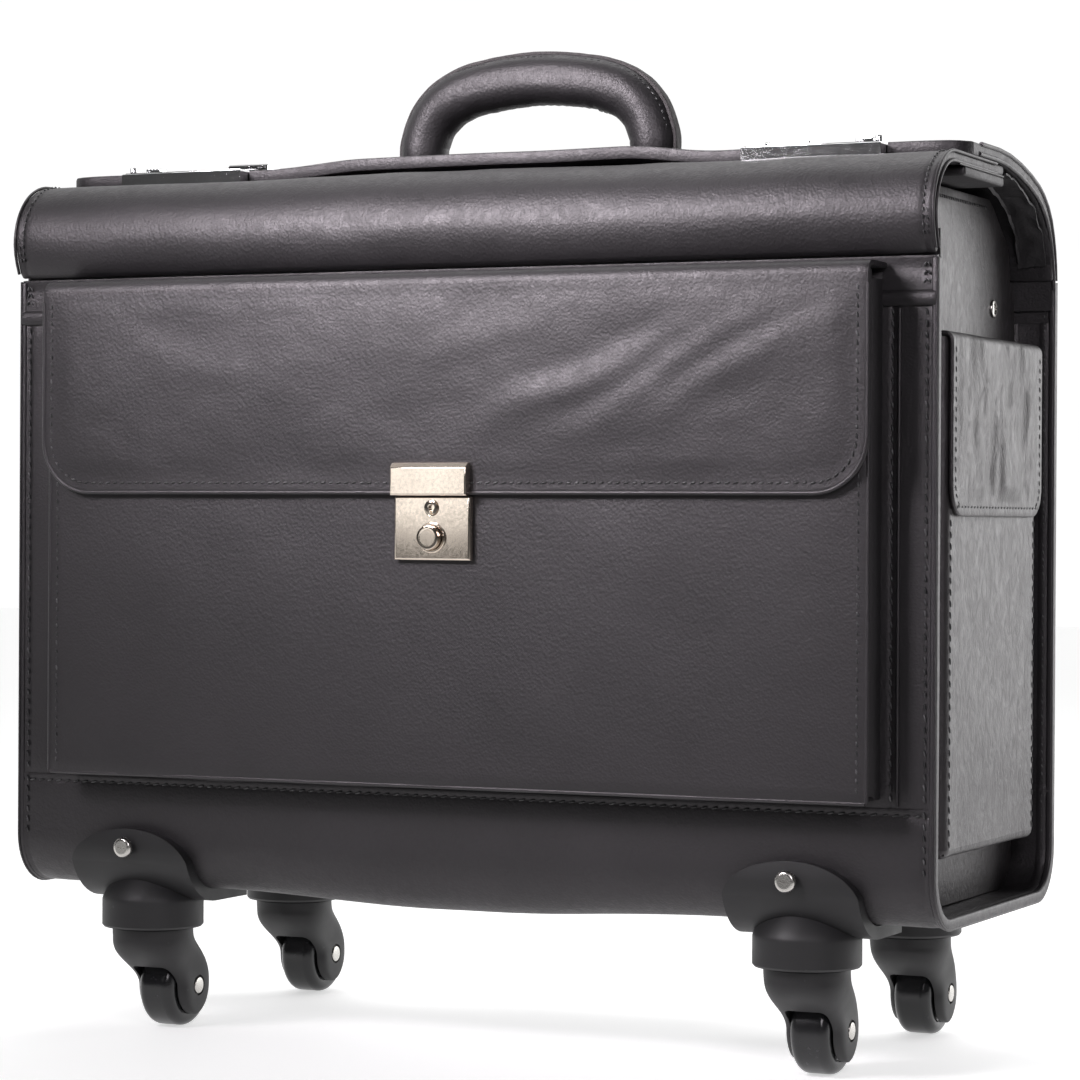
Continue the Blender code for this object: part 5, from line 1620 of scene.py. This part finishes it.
def make_fork(word, x, y):
    """Swivel hood: a round neck that narrows and leans back into two cheeks over the wheel."""
    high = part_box(f"caster_fork_{word}")[1]
    wheel_z = 0.020
    neck_top = 0.0504
    wheel_y = y + CASTER_TRAIL
    cheek = 0.0142
    half = 0.0141
    levels = 40
    hood = rod("hood", (x, y, 0), "Z", wheel_z - cheek + 0.0001, neck_top, 0.0195, 72)
    edit(hood)
    choose(hood, "EDGE", lambda at, way: abs(way.z) > 0.9)
    bpy.ops.mesh.subdivide(number_cuts=levels)
    leave()
    for vertex in hood.data.vertices:
        co = vertex.co
        turn = math.atan2(co.y - y, co.x - x)
        drop = neck_top - co.z
        wide = 0.0195 + (half - 0.0195) * ramp(drop, 0.003, 0.0250)
        near = y - 0.0195 + (CASTER_TRAIL - cheek + 0.0195) * ramp(drop, 0.006, neck_top - wheel_z)
        far = y + 0.0195 + (CASTER_TRAIL + cheek - 0.0195) * ramp(drop, 0.0015, 0.026)
        if co.z < wheel_z:
            deep = math.sqrt(max(1e-7, cheek ** 2 - (wheel_z - co.z) ** 2))
            near, far = wheel_y - deep, wheel_y + deep
            wide = half - 0.0016 * (1 - deep / cheek)
        power = 2 / (2 + 3.0 * ramp(drop, 0.004, 0.026))
        cos, sin = math.cos(turn), math.sin(turn)
        vertex.co.x = x + wide * math.copysign(abs(cos) ** power, cos)
        vertex.co.y = (near + far) / 2 + (far - near) / 2 * math.copysign(abs(sin) ** power, sin)
    hood.data.update()
    edit(hood)
    choose(hood, "EDGE", lambda at, way: at.z > neck_top - 1e-5)
    bpy.ops.mesh.bevel(offset=0.0007, segments=2)
    leave()
    stem = rod("stem", (x, y, 0), "Z", neck_top - 0.006, high.z, 0.0050, 32)
    cut_with(hood, stem, operation="UNION")
    slot = 0.0100
    window = cube(
        "window", (x - slot, y - 0.03, -0.01), (x + slot, wheel_y, 0.0308), 0.0026, 4
    )
    cut_with(
        hood,
        window,
        rod("room", (x, wheel_y, wheel_z), "X", -slot, slot, 0.0214, 72, 0.0015, 3),
        rod("bore", (x, wheel_y, wheel_z), "X", -0.03, 0.03, 0.0031, 32),
        rod("recess", (x, wheel_y, wheel_z), "X", half - 0.0010, 0.03, 0.0050, 48),
        rod("recess", (x, wheel_y, wheel_z), "X", -0.03, -half + 0.0010, 0.0050, 48),
    )
    use(hood, "BEVEL", width=0.0005, segments=2, limit_method="ANGLE",
        angle_limit=math.radians(55))
    smooth(hood, 40)
    hood.name = f"caster_hood_{word}"
    fit(hood, f"caster_fork_{word}", PLASTIC, f"caster_fork_{word}")
    pin = rod("pin", (x, wheel_y, wheel_z), "X", -half + 0.0001, half - 0.0001, 0.0028, 32, 0.0005)
    heads = [
        rod("head", (x, wheel_y, wheel_z), "X", side * (half - 0.0003) - 0.0006,
            side * (half - 0.0003) + 0.0006, 0.0040, 40, 0.0005, 3)
        for side in (-1, 1)
    ]
    pin = cut_with(pin, *heads, operation="UNION")
    smooth(pin, 30)
    pin.name = f"caster_pin_{word}"
    fit(pin, f"caster_fork_{word}", STEEL, f"caster_axle_{word}")


def make_wheel(word, x, wheel_y):
    """Moulded wheel: crowned tread, dished sides and a hub."""
    wheel_z = 0.020
    tyre = rod("tyre", (x, wheel_y, wheel_z), "X", -0.00925, 0.00925, 0.0200, 96)
    edit(tyre)
    choose(tyre, "EDGE", lambda at, way: abs(abs(at.x - x) - 0.00925) < 1e-5)
    bpy.ops.mesh.bevel(offset=0.0046, segments=8)
    choose(tyre, "FACE", lambda at, way: abs(way.x) > 0.999)
    bpy.ops.mesh.inset(thickness=0.0012, depth=0.0)
    bpy.ops.mesh.inset(thickness=0.0008, depth=-0.0014)
    bpy.ops.mesh.inset(thickness=0.0056, depth=0.0002)
    bpy.ops.mesh.inset(thickness=0.0006, depth=0.0012)
    leave()
    cut_with(tyre, rod("bore", (x, wheel_y, wheel_z), "X", -0.03, 0.03, 0.0031, 32))
    smooth(tyre, 30)
    tyre.name = f"caster_tyre_{word}"
    fit(tyre, f"caster_wheel_{word}", WHEEL, f"caster_wheel_{word}")


# ------------------------------------------------------------------ pull handle
def tube_piece(node, body, wall=0.0010):
    """One rectangular tube with rounded corners, open at both ends."""
    low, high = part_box(node)
    tube = cube(node, low, high)
    edit(tube)
    choose(tube, "EDGE", lambda at, way: abs(way.z) > 0.9)
    bpy.ops.mesh.bevel(offset=0.0020, segments=4)
    leave()
    hollow = Vector((wall, wall, -0.01))
    cut_with(tube, cube("hollow", low + hollow, high - hollow))
    use(tube, "BEVEL", width=0.00025, segments=1, limit_method="ANGLE",
        angle_limit=math.radians(60))
    smooth(tube, 30)
    tube.name = node.replace("tube", "stage")
    fit(tube, body, ALUMINIUM, node)
    return tube


def make_pull_handle():
    foot_low, foot_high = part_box("pull_handle_foot")
    guide_low, guide_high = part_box("pull_handle_guide")
    for node, low, high, shrink in (
        ("pull_handle_foot", foot_low, foot_high, 0.0),
        ("pull_handle_guide", guide_low, guide_high, 0.0013),
    ):
        block = cube(node, low, high)
        edit(block)
        choose(block, "EDGE", lambda at, way: at.y > low.y + 0.001)
        bpy.ops.mesh.bevel(offset=0.0022, segments=4)
        leave()
        cutters = []
        for side in ("left", "right"):
            tube_low, tube_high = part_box(f"outer_tube_{side}")
            grow = 0.0003 - shrink
            bottom = tube_low.z - 0.0003 if node.endswith("foot") else low.z - 0.01
            cutters.append(cube(
                "socket", (tube_low.x - grow, tube_low.y - grow, bottom),
                (tube_high.x + grow, tube_high.y + grow, high.z + 0.01)
            ))
        middle = cube(
            "relief", (-0.040, high.y - 0.0012, low.z + 0.005), (0.040, high.y + 0.01, high.z - 0.005),
            0.0010
        )
        cutters.append(middle)
        cut_with(block, *cutters)
        smooth(block, 30)
        block.name = node.replace("pull_handle", "trolley")
        fit(block, "case", PLASTIC, node)
        screws = []
        for side in (-1, 1):
            z = (low.z + high.z) / 2
            screws.append(rod("screw", (side * 0.034, high.y - 0.0012, z), "Y", -0.001, 0.0008,
                              0.0026, 32, 0.0005))
        fit(join(f"{block.name}_screws", *screws), "case", STEEL)
    for side in ("left", "right"):
        tube_piece(f"outer_tube_{side}", "case")
        tube_piece(f"middle_tube_{side}", "pull_middle")
        tube_piece(f"inner_tube_{side}", "pull_grip")
    low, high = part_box("pull_grip")
    grip = cube("pull_grip_bar", low, high)
    edit(grip)
    choose(grip, "EDGE", lambda at, way: abs(way.x) > 0.9)
    bpy.ops.mesh.bevel(offset=0.0046, segments=6)
    choose(grip, "EDGE", lambda at, way: abs(abs(at.x) - high.x) < 1e-5)
    bpy.ops.mesh.bevel(offset=0.0016, segments=3)
    leave()
    button_low, button_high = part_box("pull_grip_button")
    room = Vector((0.0004, 0.0004, 0.0036))
    well = cube("well", button_low - room, button_high + Vector((0.0004, 0.0004, 0.01)))
    cut_with(grip, well)
    holes = []
    for side in ("left", "right"):
        tube_low, tube_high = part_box(f"inner_tube_{side}")
        holes.append(cube("seat", (tube_low.x - 0.0003, tube_low.y - 0.0003, low.z - 0.01),
                          (tube_high.x + 0.0003, tube_high.y + 0.0003, tube_high.z + 0.0003)))
    cut_with(grip, *holes)
    smooth(grip, 30)
    fit(grip, "pull_grip", PLASTIC, "pull_grip")
    key = cube("pull_button_key", button_low, button_high, 0.0009, 3)
    fit(key, "pull_button", PLASTIC, "pull_grip_button")


# ------------------------------------------------------------------ lining and back
def make_lining():
    """Woven lining on the inside of the tray and walls, seen with the flaps open."""
    inset = BOARD + 0.0006
    centre_y = HALF_Y - CORNER
    centre_z = UNDERSIDE + CORNER
    turn = CORNER - inset
    path = [(HALF_Y - inset, 0.338 - 0.030 * k) for k in range(8)]
    path += arc((centre_y, centre_z), turn, 0, -90, 6)
    path += arc((-centre_y, centre_z), turn, -90, -180, 6)
    path += [(-HALF_Y + inset, 0.338 - 0.030 * k) for k in range(7, -1, -1)]
    reach = END_LOW.x - 0.0012
    lining = bent_sheet("inner_lining_wrap", path, -reach, reach, 24)
    use(lining, "SOLIDIFY", thickness=0.0008, offset=-1.0, use_even_offset=True)
    smooth(lining, 40)
    ends = []
    for side in (-1, 1):
        near, far = sorted((side * (END_LOW.x - 0.0003), side * (END_LOW.x - 0.0009)))
        outline = [(y * 0.985, 0.002 + z * 0.992) for y, z in end_outline(0.003)]
        ends.append(plate_from("end", outline, near, far, 0))
    fit(join("inner_lining_cloth", lining, *ends), "case", LINING)


make_kick_band()
panel("front_wall", -HALF_Y + GAP, KICK_TOP - 0.0012, STRIP_Z + 0.0022, 21.0, "front_panel")
panel("back_wall", HALF_Y - GAP, KICK_TOP - 0.0012, STRIP_Z + 0.0022, 31.0, "back_panel")
make_hinge_strip("front", -1)
make_hinge_strip("back", 1)
make_rims()
make_edge_fold(-1, "left")
make_edge_fold(1, "right")
make_shell_stitching()
make_front_flap()
make_rear_flap()
make_flap_gussets()
make_hinge_cloths()
make_front_pocket()
make_pocket_flap()
make_push_lock()
make_end("right", 1)
make_end("left", -1)
make_carry_handle()
for word, side in (("left", -1), ("right", 1)):
    make_latch(word, side)
for word, back in (("front_left", -1), ("front_right", -1), ("back_left", 1), ("back_right", 1)):
    make_caster(word, back)
make_pull_handle()
make_lining()


# ------------------------------------------------------------------ stage and light
DIM_SIDE = 0.05


def area_light(name, spot, target, wide, tall, power, colour=(1, 1, 1)):
    """A soft rectangular light turned to a target."""
    lamp = bpy.data.lights.new(name, "AREA")
    lamp.shape = "RECTANGLE"
    lamp.size = wide
    lamp.size_y = tall
    lamp.energy = power
    lamp.color = colour
    light = bpy.data.objects.new(name, lamp)
    bpy.context.scene.collection.objects.link(light)
    light.location = spot
    light.rotation_euler = (Vector(target) - Vector(spot)).to_track_quat("-Z", "Y").to_euler()
    return light


def make_stage():
    """White surround behind the case, dim in front of it; pale floor; five soft boxes."""
    scene = bpy.context.scene
    scene.view_settings.view_transform = "Standard"
    scene.view_settings.look = "None"
    world = bpy.data.worlds.new("studio")
    scene.world = world
    world.use_nodes = True
    nodes, links = world.node_tree.nodes, world.node_tree.links
    back = nodes["Background"]
    back.inputs["Color"].default_value = (1, 1, 1, 1)
    way = nodes.new("ShaderNodeTexCoord")
    lean = nodes.new("ShaderNodeVectorMath")
    lean.operation = "DOT_PRODUCT"
    lean.inputs[1].default_value = (-0.42, 0.90, 0.12)
    links.new(way.outputs["Generated"], lean.inputs[0])
    glow = remap(nodes, links, lean.outputs["Value"], 0.05, 0.62, DIM_SIDE, 1.02)
    links.new(glow, back.inputs["Strength"])
    clear_selection()
    bpy.ops.mesh.primitive_plane_add(size=14, location=(0, 0, -0.0005))
    floor = bpy.context.active_object
    floor.name = "studio_floor"
    pale, nodes, links, shader = new_finish("studio_floor", (0.90, 0.90, 0.90), 0.7)
    shader.inputs["Emission Color"].default_value = (1, 1, 1, 1)
    spot = nodes.new("ShaderNodeTexCoord")
    depth = nodes.new("ShaderNodeVectorMath")
    depth.operation = "DOT_PRODUCT"
    depth.inputs[1].default_value = (-0.42, 0.90, 0.0)
    links.new(spot.outputs["Object"], depth.inputs[0])
    near = remap(nodes, links, depth.outputs["Value"], -0.75, -0.15, 0.0, 1.0)
    tone = blend_colours(nodes, links, near, (0.22, 0.22, 0.22), (0.90, 0.90, 0.90))
    links.new(tone, shader.inputs["Base Color"])
    glow = remap(nodes, links, near, 0.0, 1.0, 0.0, 0.55)
    links.new(glow, shader.inputs["Emission Strength"])
    floor.data.materials.append(pale)
    blush = (1.0, 0.955, 1.0)
    front = area_light("soft box in front", (-0.29, -0.72, 0.74), (0.02, -0.09, 0.43), 0.34, 0.40, 1.8, blush)
    front.data.spread = math.radians(56)
    front.visible_camera = False
    side = area_light("soft box on the right", (0.80, -1.15, 0.75), (0.20, -0.09, 0.34), 0.4, 0.5, 0.8, blush)
    side.data.spread = math.radians(60)
    side.visible_camera = False
    card = area_light("card for the lock", (-0.455, -1.006, 0.30), (0.003, -0.115, 0.25), 0.13, 0.12, 0.072)
    card.visible_camera = False
    area_light("soft box behind on the right", (1.55, 2.3, 0.75), (0.2, 0, 0.25), 1.5, 1.5, 20)
    area_light("soft box over the top", (-0.2, 0.6, 1.9), (0, 0, 0.42), 1.4, 0.8, 8)


make_stage()
